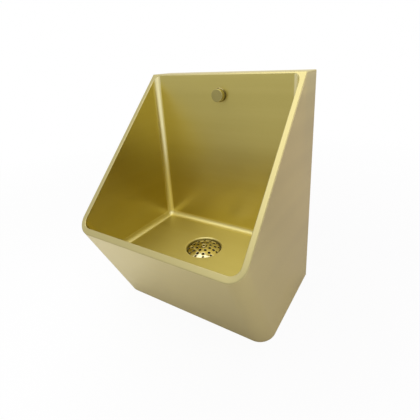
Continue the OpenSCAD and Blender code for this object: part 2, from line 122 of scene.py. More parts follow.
def bend(edge: Array, first: Array, second: Array, radius: float | Array, steps: int,
         convex: bool = True) -> Array:
    """Rounds a sharp edge between two faces.

    The arc's centre lies on the bisector of the two normals, radius / cos(turn / 2) from the
    edge, and each row is the centre plus the radius times a normal turned evenly from the
    first to the second. Inside a corner the same holds with the signs turned round.

    Args:
        edge: Points of the sharp edge, one per column.
        first: Normals of the face that the rows start on.
        second: Normals of the face that they end on.
        radius: Radius of the bend.
        steps: Number of facets.
        convex: True for an outside corner.

    Returns:
        Rows by columns by 3 points.
    """
    first, second = np.broadcast_to(first, edge.shape), np.broadcast_to(second, edge.shape)
    turn = np.arccos(np.clip(dot(first, second), -1, 1))
    side = 1.0 if convex else -1.0
    centre = edge - side * unit(first + second) * radius / np.cos(turn / 2)
    f = np.linspace(0, 1, steps + 1)[:, None, None]
    normals = (np.sin((1 - f) * turn) * first + np.sin(f * turn) * second) / np.sin(turn)
    return centre + side * radius * normals


def away(first: Array, second: Array) -> Array:
    """Direction on the first face, square to the outside edge that it shares with the second,
    away from that edge: the second normal less its part along the first, turned round."""
    return -unit(second - dot(first, second) * first)


def ruled(start: Array, end: Array, hold: float, inner: int = 0) -> Array:
    """Rows between two lines of points, with a narrow row kept at each end for clean shading.

    Args:
        start: The first row.
        end: The last row.
        hold: Width of the narrow rows, at most a fifth of the way.
        inner: Number of even rows between them.

    Returns:
        Rows by columns by 3 points, each start + f * (end - start).
    """
    length = np.linalg.norm(end - start, axis=-1, keepdims=True)
    h = np.minimum(hold / np.maximum(length, 1e-9), 0.2)
    even = np.linspace(0, 1, inner + 2)[1:-1]
    f = np.stack([0 * h, h, *[h + (1 - 2 * h) * e for e in even], 1 - h, 0 * h + 1])
    return start + f * (end - start)


def spaced(count: int, hold: float) -> Array:
    """Even fractions from 0 to 1 with one more close to each end."""
    return np.concatenate([[0.0, hold], np.linspace(0, 1, count + 1)[1:-1], [1 - hold, 1.0]])


def rounded(corners: list[Triple], steps: int = 4, closed: bool = True) -> Array:
    """A section with rounded corners.

    Each corner is (across, up, radius). Its arc touches both sides at radius / tan(half the
    corner's angle), about a centre on the bisector, and a point a little beyond each end of
    the arc keeps the flats flat.

    Args:
        corners: The corners, anticlockwise with across to the right.
        steps: Facets for each arc.
        closed: True for a closed section, False for a strip whose ends stay as they are.

    Returns:
        The section's points. A closed section repeats its first point at the end.
    """
    data = np.array(corners, float)
    ends = data[[0, -1], :2]
    before, after = np.roll(data[:, :2], 1, 0), np.roll(data[:, :2], -1, 0)
    if not closed:
        data, before, after = data[1:-1], before[1:-1], after[1:-1]
    p, r = data[:, :2], data[:, 2:]
    a, b = unit(before - p), unit(after - p)
    half = np.arccos(np.clip(dot(a, b), -1, 1)) / 2
    reach = r / np.tan(half)
    centre = p + unit(a + b) * r / np.sin(half)
    v0, v1 = p + a * reach - centre, p + b * reach - centre
    turn = np.pi - 2 * half
    f = np.linspace(0, 1, steps + 1)[:, None, None]
    arc = centre + (np.sin((1 - f) * turn) * v0 + np.sin(f * turn) * v1) / np.sin(turn)
    held = 0.3 * r
    rows = np.concatenate([(p + a * (reach + held))[None], arc, (p + b * (reach + held))[None]])
    points = rows.transpose(1, 0, 2).reshape(-1, 2)
    if not closed:
        return np.concatenate([ends[:1], points, ends[1:]])
    return np.concatenate([points, points[:1]])


@dataclass
class Patch:
    """A grid of points, rows by columns, and its grain coordinates, in millimetres."""

    points: Array
    grain: Array
    keep: Array | None = None


def patch(points: Array, run: Grain) -> Patch:
    """Gives a grid its grain coordinates: across the grain first, then along it.

    Level: height, and the level distance run through by a row. Across: y and x. Along: the
    mean distance run through by the columns, and by the rows.

    Args:
        points: Rows by columns by 3 points.
        run: How the grain runs.

    Returns:
        The patch.
    """
    step = np.diff(points, axis=1)
    if run is Grain.LEVEL:
        level = np.linalg.norm(step[..., :2], axis=-1)
        along = np.concatenate([np.zeros((len(points), 1)), np.cumsum(level, 1)], 1)
        across = points[..., 2]
    elif run is Grain.ACROSS:
        across, along = points[..., 1], points[..., 0]
    else:
        rise = np.linalg.norm(np.diff(points, axis=0), axis=-1).mean(1)
        level = np.linalg.norm(step, axis=-1).mean(0)
        across, along = np.meshgrid(np.append(0.0, np.cumsum(rise)),
                                    np.append(0.0, np.cumsum(level)), indexing="ij")
    return Patch(points, np.stack([across, along], -1))


def placed(points: Array, centre: Triple, axis: Axis) -> Array:
    """Moves points made about +Z to an axis through a centre. Rearward takes (x, y, z) to
    (x, z, -y).

    Args:
        points: The points, with x, y and z last.
        centre: Where their origin goes.
        axis: Which way +Z goes.

    Returns:
        The moved points.
    """
    if axis is Axis.REARWARD:
        points = np.stack([points[..., 0], points[..., 2], -points[..., 1]], -1)
    return points + np.array(centre, float)


def turned(parts: list, centre: Triple, axis: Axis = Axis.UPRIGHT, around: int = 72) -> Patch:
    """Spins a section about an axis: (r cos a, r sin a, h) for every angle a.

    Args:
        parts: Stretches of the section, in order. A plain one lists pairs of radius and
            height, each a number or one value per angle. A thread is what threaded gives.
        centre: Where the axis's zero is.
        axis: Which way it points.
        around: Number of facets.

    Returns:
        The patch, with its grain round the axis.
    """
    a = np.linspace(0, 2 * np.pi, around + 1)
    tables = [part if isinstance(part, tuple) else
              [[value * np.ones(around + 1) for value in column] for column in zip(*part)]
              for part in parts]
    radii, heights = (np.concatenate(column) for column in zip(*tables))
    points = np.stack([radii * np.cos(a), radii * np.sin(a), heights], -1)
    return patch(placed(points, centre, axis), Grain.ALONG)


def lathe(corners: list[Triple], centre: Triple, axis: Axis = Axis.UPRIGHT,
          around: int = FACETS) -> Patch:
    """A turned piece from its rounded closed section."""
    return turned([rounded(corners)], centre, axis, around)


def ring(inner: float, outer: float, thick: float, centre: Triple,
         axis: Axis = Axis.UPRIGHT, edge: float = 0.5) -> Patch:
    """A flat ring on its centre, with edges rounded by up to a third of its thickness."""
    r = min(edge, thick / 3)
    return lathe([(inner, 0, r), (outer, 0, r), (outer, thick, r), (inner, thick, r)],
                 centre, axis)


def threaded(radius: float, depth: float, pitch: float, low: float, high: float,
             around: int = 72) -> tuple[Array, Array]:
    """A screw thread as radii and heights by angle.

    The radius is the full radius less depth times half of (1 - cos(2 pi (h / pitch - a / 2
    pi))), and the depth fades to nothing within one pitch of each end.

    Args:
        radius: Radius over the crests.
        depth: Depth of the thread.
        pitch: Rise per turn.
        low: Height of its lower end.
        high: Height of its upper end.
        around: Number of facets.

    Returns:
        Radii and heights, rows by angles.
    """
    h = np.linspace(low, high, max(8, int((high - low) / pitch * 8)) + 1)[:, None]
    a = np.linspace(0, 2 * np.pi, around + 1)[None]
    fade = np.clip(np.minimum(h - low, high - h) / pitch, 0, 1)
    wave = 0.5 - 0.5 * np.cos(2 * np.pi * h / pitch - a)
    return radius - depth * fade * wave, h + 0 * a


def hexagon(flats: float) -> Array:
    """Radius of a hexagon by angle: half its width across the flats over the cosine of the
    angle from the nearest flat."""
    a = np.linspace(0, 2 * np.pi, FACETS + 1)
    return flats / 2 / np.cos(np.mod(a, np.pi / 3) - np.pi / 6)


def nut(flats: float, bore: list[tuple[float, float]], length: float, centre: Triple) -> Patch:
    """A hexagon nut about a rearward stepped bore, its corners chamfered by a cone of 30
    degrees that starts at a share of the width on each end face.

    Args:
        flats: Width across the flats.
        bore: The bore's (radius, height) from the far end back to the near end.
        length: Length of the nut.
        centre: Middle of the near end.

    Returns:
        The closed patch.
    """
    share, slope, step = 0.47, math.tan(math.radians(30)), 0.4
    end = share * flats
    cut = (flats / math.sqrt(3) - end) * slope
    near = [(np.minimum(hexagon(flats), end + x / slope), x)
            for x in np.linspace(0, cut * 1.02, 7)]
    far = [(radius, length - x) for radius, x in near[::-1]]
    mouth = (bore[-1][0] + step, 0.0)
    return turned([[mouth, *near, *far, (bore[0][0] + step, length), *bore, mouth]],
                  centre, Axis.REARWARD, FACETS)


def bored(radius: float, far: float, near: float = 0.0,
          soft: float = 0.3) -> list[tuple[float, float]]:
    """A bore from its far mouth back to its near one, with both edges softened."""
    return [(radius + soft, far), (radius, far - soft), (radius, near + soft),
            (radius + soft, near)]


def union(flats: float, grip: float, shoulder: float, tube: float, lip: float,
          centre: Triple) -> Patch:
    """A union nut: its grip runs to a shoulder, and a narrower lip goes on about the tube.

    Args:
        flats: Width across the flats.
        grip: Radius of the threaded part's bore.
        shoulder: Distance of the shoulder from the near end.
        tube: Radius of the lip's bore.
        lip: Thickness of the lip.
        centre: Middle of the near end.

    Returns:
        The closed patch.
    """
    bore = [(tube, shoulder + lip), (tube, shoulder), (grip, shoulder),
            *bored(grip, shoulder)[2:]]
    return nut(flats, bore, shoulder + lip, centre)


def punched(window: Array, radius: float, steps: int = 8) -> Patch:
    """Flat ring between a round hole and a four-cornered window: each quarter of the hole
    fans out to one corner.

    Args:
        window: The window's corners, anticlockwise seen from the face's front.
        radius: Radius of the hole at the window's middle.
        steps: Facets for each quarter.

    Returns:
        The patch, its two rows the hole and the window.
    """
    middle = window.mean(0)
    right, up = unit(window[1] - window[0]), unit(window[3] - window[0])
    number = np.repeat(np.arange(4), steps + 1)
    a = np.tile(quarter(steps), 4) + number * np.pi / 2
    hole = middle + radius * (np.cos(a)[:, None] * right + np.sin(a)[:, None] * up)
    outer = window[np.array([2, 3, 0, 1])[number]]
    rows = np.stack([np.concatenate([outer, outer[:1]]), np.concatenate([hole, hole[:1]])])
    return patch(rows, Grain.LEVEL)


# Meshes ------------------------------------------------------------------------------------


def make_mesh(name: str, patches: list[Patch], thickness: float = 0.0,
              crease: float = 35.0) -> bpy.types.Object:
    """Puts patches into one mesh, welds their seams, and gives a sheet its thickness.

    Args:
        name: Name of the piece.
        patches: Its patches. Where columns run anticlockwise, rows run up the outside.
        thickness: Thickness added behind the faces, or 0 for a closed solid.
        crease: Angle above which an edge is sharp, in degrees.

    Returns:
        The object, at the origin, with its place in its mesh.
    """
    points, quads, grain, count = [], [], [], 0
    for p in patches:
        index = count + np.arange(p.points[..., 0].size).reshape(p.points.shape[:2])
        quad = np.stack([index[:-1, :-1], index[:-1, 1:], index[1:, 1:], index[1:, :-1]], -1)
        quads.append(quad[p.keep] if p.keep is not None else quad.reshape(-1, 4))
        points.append(p.points.reshape(-1, 3))
        grain.append(p.grain.reshape(-1, 2))
        count += index.size
    corners = np.concatenate(quads)
    return finish_mesh(name, np.concatenate(points), corners, np.concatenate(grain),
                       thickness, crease)


def finish_mesh(name: str, points: Array, faces: Array, grain: Array,
                thickness: float, crease: float) -> bpy.types.Object:
    """Makes a mesh, welds it, gives it thickness, and sets its sharp edges.

    Args:
        name: Name of the piece.
        points: Its points.
        faces: Numbers of their points, faces by corners.
        grain: The points' grain coordinates.
        thickness: Thickness added behind the faces, or 0.
        crease: Angle above which an edge is sharp, in degrees.

    Returns:
        The object.
    """
    mesh = bpy.data.meshes.new(name)
    mesh.from_pydata(points * MM, [], faces.tolist())
    layer = mesh.uv_layers.new(name=GRAIN)
    layer.data.foreach_set("uv", (grain[faces.ravel()] * MM).ravel())
    obj = bpy.data.objects.new(name, mesh)
    bpy.context.scene.collection.objects.link(obj)
    obj.modifiers.new("weld", "WELD").merge_threshold = 4e-6
    if thickness:
        solid = obj.modifiers.new("sheet", "SOLIDIFY")
        solid.thickness, solid.offset = thickness * MM, -1.0
    ready = bpy.data.meshes.new_from_object(
        obj.evaluated_get(bpy.context.evaluated_depsgraph_get()))
    obj.modifiers.clear()
    obj.data = ready
    ready.name = name
    bpy.data.meshes.remove(mesh)
    ready.shade_smooth()
    ready.set_sharp_from_angle(angle=math.radians(crease))
    return obj


# Materials ---------------------------------------------------------------------------------


class Tree:
    """Short calls for one node tree."""

    def __init__(self, tree: bpy.types.NodeTree) -> None:
        """Keeps the tree and empties it."""
        self.tree = tree
        tree.nodes.clear()

    def add(self, kind: str, values: dict | None = None, **settings: object) -> bpy.types.Node:
        """Adds a node.

        Args:
            kind: The node's type without its ShaderNode prefix.
            values: Input names or numbers, and their values or the sockets linked to them.
            **settings: The node's own settings.

        Returns:
            The node.
        """
        full = kind if kind.startswith("Node") else "ShaderNode" + kind
        node = self.tree.nodes.new(full)
        for key, value in settings.items():
            setattr(node, key, value)
        for key, value in (values or {}).items():
            socket = node.inputs[key]
            if isinstance(value, Socket):
                self.tree.links.new(value, socket)
            else:
                socket.default_value = value
        return node

    def math(self, operation: str, a: object, b: object = 0.0, clamp: bool = False) -> Socket:
        """One Math node's result."""
        return self.add("Math", {0: a, 1: b}, operation=operation, use_clamp=clamp).outputs[0]

    def noise(self, vector: object, scale: object, detail: float = 2.0,
              rough: float = 0.5) -> Socket:
        """One Noise Texture's factor."""
        node = self.add("TexNoise", {"Vector": vector, "Scale": scale, "Detail": detail,
                                     "Roughness": rough})
        return node.outputs["Fac"]

    def span(self, value: object, low: float, high: float, to_low: float = 0.0,
             to_high: float = 1.0) -> Socket:
        """A value carried from one range to another."""
        node = self.add("MapRange", {0: value, 1: low, 2: high, 3: to_low, 4: to_high})
        return node.outputs[0]

    def length(self, vector: object) -> Socket:
        """A vector's length."""
        return self.add("VectorMath", {0: vector}, operation="LENGTH").outputs["Value"]

    def parts(self, vector: object) -> bpy.types.bpy_prop_collection:
        """A vector's three parts."""
        return self.add("SeparateXYZ", {0: vector}).outputs

    def effect(self, maker: Callable[[], bpy.types.NodeTree],
               values: dict) -> bpy.types.bpy_prop_collection:
        """The outputs of a shared effect, made once, with its own values."""
        return self.add("Group", values, node_tree=maker()).outputs

    def mix(self, factor: object, a: object, b: object) -> Socket:
        """A colour between two, each a socket or three parts."""
        a, b = [c if isinstance(c, Socket) else (*c, 1) for c in (a, b)]
        return self.add("Mix", {0: factor, 6: a, 7: b}, data_type="RGBA").outputs[2]


def group(name: str, inputs: dict[str, tuple[str, float]], outputs: list[str]) -> tuple:
    """Starts a shader node group.

    Args:
        name: Name of the effect.
        inputs: Socket names, with their kind (Float or Vector) and default.
        outputs: Names of its value outputs.

    Returns:
        The group, its tree and its input node's sockets.
    """
    made = bpy.data.node_groups.new(name, "ShaderNodeTree")
    for key, (kind, value) in inputs.items():
        socket = made.interface.new_socket(key, in_out="INPUT", socket_type="NodeSocket" + kind)
        if kind == "Float":
            socket.default_value = value
    for key in outputs:
        made.interface.new_socket(key, in_out="OUTPUT", socket_type="NodeSocketFloat")
    tree = Tree(made)
    return made, tree, tree.add("NodeGroupInput").outputs


@cache
def brushed_group() -> bpy.types.NodeTree:
    """Brushed grain: fine scratches and broad streaks, both noise stretched along the grain."""
    made, t, source = group("brushed_grain", {
        "Vector": ("Vector", 0.0), "Lines": ("Float", 2600.0), "Length": ("Float", 28.0)},
        ["Scratch", "Streak"])
    across, along, _ = t.parts(source["Vector"])
    fine = t.add("CombineXYZ", {0: t.math("MULTIPLY", across, source["Lines"]),
                                1: t.math("MULTIPLY", along, source["Length"])}).outputs[0]
    broad = t.add("VectorMath", {0: fine, 1: (0.02, 0.06, 1.0)}, operation="MULTIPLY")
    t.add("NodeGroupOutput", {"Scratch": t.noise(fine, 1.0, 3.0, 0.6),
                              "Streak": t.noise(broad.outputs[0], 1.0, 3.0, 0.55)})
    return made


@cache
def handled_group() -> bpy.types.NodeTree:
    """Handling marks: a soft cloud and small faint specks, in object space."""
    made, t, source = group("handled", {"Vector": ("Vector", 0.0), "Size": ("Float", 9.0)},
                            ["Cloud", "Speck"])
    vector, size = source["Vector"], source["Size"]
    cloud = t.noise(vector, size, 3.0)
    dots = t.noise(vector, t.math("MULTIPLY", size, 60.0), 1.0)
    t.add("NodeGroupOutput", {"Cloud": t.span(cloud, 0.35, 0.7),
                              "Speck": t.span(dots, 0.66, 0.74)})
    return made


def new_material(name: str) -> tuple[Material, Tree]:
    """An empty material and its tree."""
    material = bpy.data.materials.new(name)
    material.use_nodes = True
    return material, Tree(material.node_tree)


def surface(t: Tree, values: dict) -> None:
    """The Principled shader and the output."""
    t.add("OutputMaterial", {"Surface": t.add("BsdfPrincipled", values).outputs[0]})


@dataclass(frozen=True)
class BrushedMetal:
    """A metal brushed or polished along the piece's grain coordinates."""

    name: str
    slot: str
    tone: Triple
    deep: Triple
    roughness: float
    spread: float = 0.05
    anisotropy: float = 0.6
    relief: float = 0.003
    lines: float = 2600.0
    length: float = 28.0
    handled: float = 0.03
    marks: float = 9.0
    streaks: tuple[float, float] = (0.3, 0.7)

    def material(self) -> Material:
        """Builds the metal: streaks shade its colour and roughness, scratches its normal."""
        material, t = new_material(self.name)
        uv = t.add("UVMap", uv_map=GRAIN).outputs[0]
        place = t.add("TexCoord").outputs["Object"]
        brushed = t.effect(brushed_group, {"Vector": uv, "Lines": self.lines,
                                           "Length": self.length})
        handled = t.effect(handled_group, {"Vector": place, "Size": self.marks})
        streak = brushed["Streak"]
        tone = t.mix(t.span(streak, *self.streaks), self.deep, self.tone)
        rough = t.span(streak, *self.streaks, self.roughness - self.spread,
                       self.roughness + self.spread)
        for mark in ("Cloud", "Speck"):
            rough = t.math("ADD", rough, t.math("MULTIPLY", handled[mark], self.handled))
        rough = t.math("ADD", rough, self.worn(t, place), clamp=True)
        bump = t.add("Bump", {"Strength": 1.0, "Distance": self.relief * MM,
                              "Height": brushed["Scratch"]})
        tangent = t.add("Tangent", direction_type="UV_MAP", uv_map=GRAIN)
        surface(t, {"Base Color": self.painted_light_and_shade(t, place, tone), "Metallic": 1.0,
                    "Roughness": rough, "Anisotropic": self.anisotropy,
                    "Tangent": tangent.outputs[0], "Normal": bump.outputs[0]})
        return material

    def painted_light_and_shade(self, t: Tree, place: Socket, tone: Socket) -> Socket:
        """The tone after any painted light or shade: none on a plain piece."""
        return tone

    def worn(self, t: Tree, place: Socket) -> object:
        """Roughness added by wear: none on a plain piece."""
        return 0.0


@dataclass(frozen=True)
class BendHighlightMetal(BrushedMetal):
    """Brushed metal with painted highlights on the bowl's bends and drain lip, matt on its floor.

    The walls, the floor, the lip of the drain's recess and the scoured depth are at these
    distances, each fading in over the blend.
    """

    # painted highlight tones: pale over the bends and the drain's lip, upright on upright bends
    pale: Triple = (0.80, 0.715, 0.33)
    upright: Triple = (0.93, 0.85, 0.46)
    side: float = 154.0
    back: float = 85.5
    low: float = 127.0
    blend: float = 1.5
    matt: float = 0.22
    scoured: float = 9.0
    drain_y: float = 1.984
    lip: float = 39.0
    lip_low: float = 113.0
    lip_blend: float = 0.7

    def painted_light_and_shade(self, t: Tree, place: Socket, tone: Socket) -> Socket:
        """Painted highlight where two of three are near: a side wall, the back wall, the floor.
        Painted highlight too on the lip of the drain's recess, palest along the upright bends.

        Args:
            t: The material's tree.
            place: The shaded point, in metres.
            tone: The sheet's own colour.

        Returns:
            The colour after the grinding.
        """
        x, y, z = t.parts(place)
        near = [t.span(v, (start - way * self.blend) * MM, (start + way * self.blend) * MM)
                for v, start, way in ((t.math("ABSOLUTE", x), self.side, 1),
                                      (y, self.back, 1), (z, self.low, -1))]
        pairs = [t.math("MULTIPLY", near[i], near[j]) for i, j in ((0, 1), (0, 2), (1, 2))]
        flat = t.add("VectorMath", {0: place, 1: (1, 1, 0), 2: (0, -self.drain_y * MM, 0)},
                     operation="MULTIPLY_ADD").outputs[0]
        lip = t.math("MULTIPLY",
                     t.span(t.length(flat), (self.lip + self.lip_blend) * MM, self.lip * MM),
                     t.span(z, self.lip_low * MM, (self.lip_low + self.blend) * MM))
        highlight_mask = pairs[0]
        for other in (pairs[1], pairs[2], lip):
            highlight_mask = t.math("MAXIMUM", highlight_mask, other)
        # painted highlights: the pale tone under the mask, the upright tone on the upright bends
        return t.mix(pairs[0], t.mix(highlight_mask, tone, self.pale), self.upright)

    def worn(self, t: Tree, place: Socket) -> object:
        """The floor is scoured matt."""
        return t.span(t.parts(place)[2], self.low * MM, (self.low - self.scoured) * MM,
                      0.0, self.matt)


@dataclass(frozen=True)
class PolishedMetal(BrushedMetal):
    """Polished metal with painted shade on its upright faces, such as a punched hole's wall."""

    # painted shade tone for steep faces: hole walls, the skirt, and the sides of the cup, screw
    # and stem
    cut: Triple = (0.20, 0.165, 0.06)
    steep: tuple[float, float] = (0.4, 0.8)

    def painted_light_and_shade(self, t: Tree, place: Socket, tone: Socket) -> Socket:
        """Painted shade where the surface is steep, so that its normal's height is small."""
        height = t.math("ABSOLUTE", t.parts(t.add("NewGeometry").outputs["Normal"])[2])
        # painted shade: the steep faces take the dark tone
        return t.mix(t.span(height, *self.steep), self.cut, tone)


@dataclass(frozen=True)
class Moulded:
    """A moulded plastic or rubber with a fine pebble and a soft cloud of dust."""

    name: str
    slot: str
    tone: Triple
    dusty: Triple
    roughness: float
    pebble: float = 900.0
    relief: float = 0.03
    marks: float = 14.0
    dust: tuple[float, float] = (0.5, 0.3)
    dulled: float = 0.12

    def material(self) -> Material:
        """Builds the moulded surface."""
        material, t = new_material(self.name)
        place = t.add("TexCoord").outputs["Object"]
        handled = t.effect(handled_group, {"Vector": place, "Size": self.marks})
        tone = self.tone
        for mark, share in zip(("Cloud", "Speck"), self.dust):
            tone = t.mix(t.math("MULTIPLY", handled[mark], share), tone, self.dusty)
        rough = t.span(handled["Cloud"], 0, 1, self.roughness,
                       min(1.0, self.roughness + self.dulled))
        grit = t.noise(place, self.pebble)
        bump = t.add("Bump", {"Strength": 1.0, "Distance": self.relief * MM, "Height": grit})
        surface(t, {"Base Color": tone, "Roughness": rough, "Normal": bump.outputs[0]})
        return material


@dataclass(frozen=True)
class Finishes:
    """Every finish on the object, built once."""

    sheet: Material
    bowl: Material
    rim: Material
    bright: Material
    button: Material
    steel: Material
    brass: Material
    plastic: Material
    rubber: Material
    bitumen: Material
    slots: dict[str, str] = field(default_factory=dict)

    @classmethod
    def build(cls) -> "Finishes":
        """Makes the materials and remembers each one's slot in the record."""
        kinds = {
            "sheet": BrushedMetal("gold_sheet", "coated_sheet", (0.67, 0.58, 0.275),
                                  (0.65, 0.56, 0.26), 0.36, 0.02, 0.6),
            "bowl": BendHighlightMetal("gold_bowl", "coated_sheet", (0.64, 0.55, 0.18),
                                (0.62, 0.53, 0.165), 0.32, 0.02, 0.6),
            "rim": BrushedMetal("gold_rim", "coated_rim", (0.54, 0.475, 0.225),
                                (0.52, 0.455, 0.21), 0.42, 0.02, 0.3),
            "bright": PolishedMetal("gold_polished", "polished_gold", (0.62, 0.55, 0.325),
                                    (0.59, 0.515, 0.29), 0.12, 0.03, 0.3, 0.002, 1500, 40),
            "button": BrushedMetal("gold_satin", "polished_gold", (0.49, 0.43, 0.16),
                                   (0.46, 0.40, 0.145), 0.34, 0.04, 0.2, 0.002, 1500, 40),
            "steel": BrushedMetal("zinc_steel", "bare_steel", (0.56, 0.57, 0.60),
                                  (0.47, 0.48, 0.51), 0.40, 0.08, 0.2, 0.006, 900, 120, 0.10),
            "brass": BrushedMetal("cast_brass", "brass_fitting", (0.74, 0.57, 0.27),
                                  (0.64, 0.47, 0.20), 0.32, 0.06, 0.2, 0.004, 1400, 60, 0.08),
            "plastic": Moulded("dark_polypropylene", "grey_plastic", (0.075, 0.077, 0.08),
                               (0.13, 0.13, 0.13), 0.42),
            "rubber": Moulded("rubber_black", "black_rubber", (0.022, 0.022, 0.024),
                              (0.06, 0.06, 0.06), 0.62, 1400.0),
            "bitumen": Moulded("bitumen_pad", "pad_bitumen", (0.035, 0.035, 0.037),
                               (0.09, 0.09, 0.088), 0.85, 350.0, 0.25),
        }
        made = {key: kind.material() for key, kind in kinds.items()}
        return cls(**made, slots={made[k].name: kinds[k].slot for k in kinds})

    def dress(self, obj: bpy.types.Object, material: Material, *nodes: str) -> None:
        """Gives a piece its finish, and lets it ride with and stand for its CAD nodes.

        Args:
            obj: The piece.
            material: Its finish.
            nodes: Names of the CAD nodes that it replaces. It rides with the first.
        """
        obj.data.materials.clear()
        obj.data.materials.append(material)
        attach(obj, frame["nodes"][nodes[0]]["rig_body"])
        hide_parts(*nodes)
        log.info("piece %s: %d faces, %s", obj.name, len(obj.data.polygons), material.name)

    def piece(self, name: str, shape: Patch, material: Material, node: str) -> None:
        """Makes a closed patch into a dressed piece."""
        self.dress(make_mesh(name, [shape]), material, node)


# The object --------------------------------------------------------------------------------


@dataclass(frozen=True)
class SideView:
    """The casing's side view, and the planes that its parts share."""

    width: float = 350.0
    depth: float = 320.0
    height: float = 460.0
    top_depth: float = 61.0
    lip_height: float = 195.0
    base_depth: float = 228.0
    sheet: float = 1.5

    @property
    def wall_y(self) -> float:
        """The wall face."""
        return self.depth / 2

    @property
    def top_y(self) -> float:
        """Front edge of the top."""
        return self.wall_y - self.top_depth

    @property
    def slope(self) -> float:
        """Angle of the rim's plane above level."""
        return math.atan2(self.height - self.lip_height, self.top_y + self.wall_y)

    @property
    def lean(self) -> float:
        """Angle of the apron from upright."""
        return math.atan2(2 * self.wall_y - self.base_depth, self.lip_height)

    @property
    def lip(self) -> Array:
        """Middle of the front lip."""
        return np.array([0.0, -self.wall_y, self.lip_height])

    @property
    def rim_normal(self) -> Array:
        """Normal of the rim's plane, out of the bowl."""
        return np.array([0.0, -math.sin(self.slope), math.cos(self.slope)])

    @property
    def inward(self) -> Array:
        """Normal of the apron, into the casing."""
        return np.array([0.0, math.cos(self.lean), math.sin(self.lean)])

    @property
    def rising(self) -> Array:
        """Up the apron."""
        return np.array([0.0, -math.sin(self.lean), math.cos(self.lean)])

    def rim_y(self, z: Array) -> Array:
        """Where the rim's plane is at a height."""
        return -self.wall_y + (z - self.lip_height) / math.tan(self.slope)

    def rim_z(self, y: float | Array) -> float | Array:
        """How high the rim's plane is at a distance back."""
        return self.lip_height + (y + self.wall_y) * math.tan(self.slope)

    def on_plane(self, x: Array, depth: Array, point: Array,
                 normal: Array) -> Array:
        """Where lines up the apron meet a plane.

        Args:
            x: Their distances from the middle.
            depth: Their distances in from the apron.
            point: A point of the plane.
            normal: Its normal.

        Returns:
            One point per line: start + rising * ((point - start) . normal) / (rising . normal).
        """
        start = self.lip + x[:, None] * RIGHT + depth[:, None] * self.inward
        reach = ((point - start) @ normal) / (self.rising @ normal)
        return start + reach[:, None] * self.rising


@dataclass(frozen=True)
class Columns:
    """How many columns each stretch of the rim, bowl and casing has."""

    front: int = 14
    front_corner: int = 16
    side: int = 26
    back_corner: int = 10
    back: int = 14


def front_section(half: float, near: float, radius: float,
                  c: Columns) -> tuple[Array, Array, Array]:
    """Right half of the section square to the apron: a straight front, then its corner.

    Args:
        half: Distance of the side from the middle.
        near: Distance of the front in from the apron.
        radius: Radius of the corner.
        c: The columns.

    Returns:
        Distances from the middle, distances in from the apron, and the corner's angles, 0
        along the front and a right angle at the side.
    """
    straight = (half - radius) * np.append(np.linspace(0, 1, c.front + 1)[:-1],
                                           [1 - 1 / (half - radius)])
    a = np.append(np.zeros(len(straight)), quarter(c.front_corner))
    x = np.append(straight, half - radius + radius * np.sin(a[len(straight):]))
    depth = near + radius * (1 - np.cos(a))
    return x, depth, a


def mirrored(half: Array) -> Array:
    """The other half of a row of points or normals, in the opposite order."""
    return half[::-1] * np.array([-1.0, 1.0, 1.0])


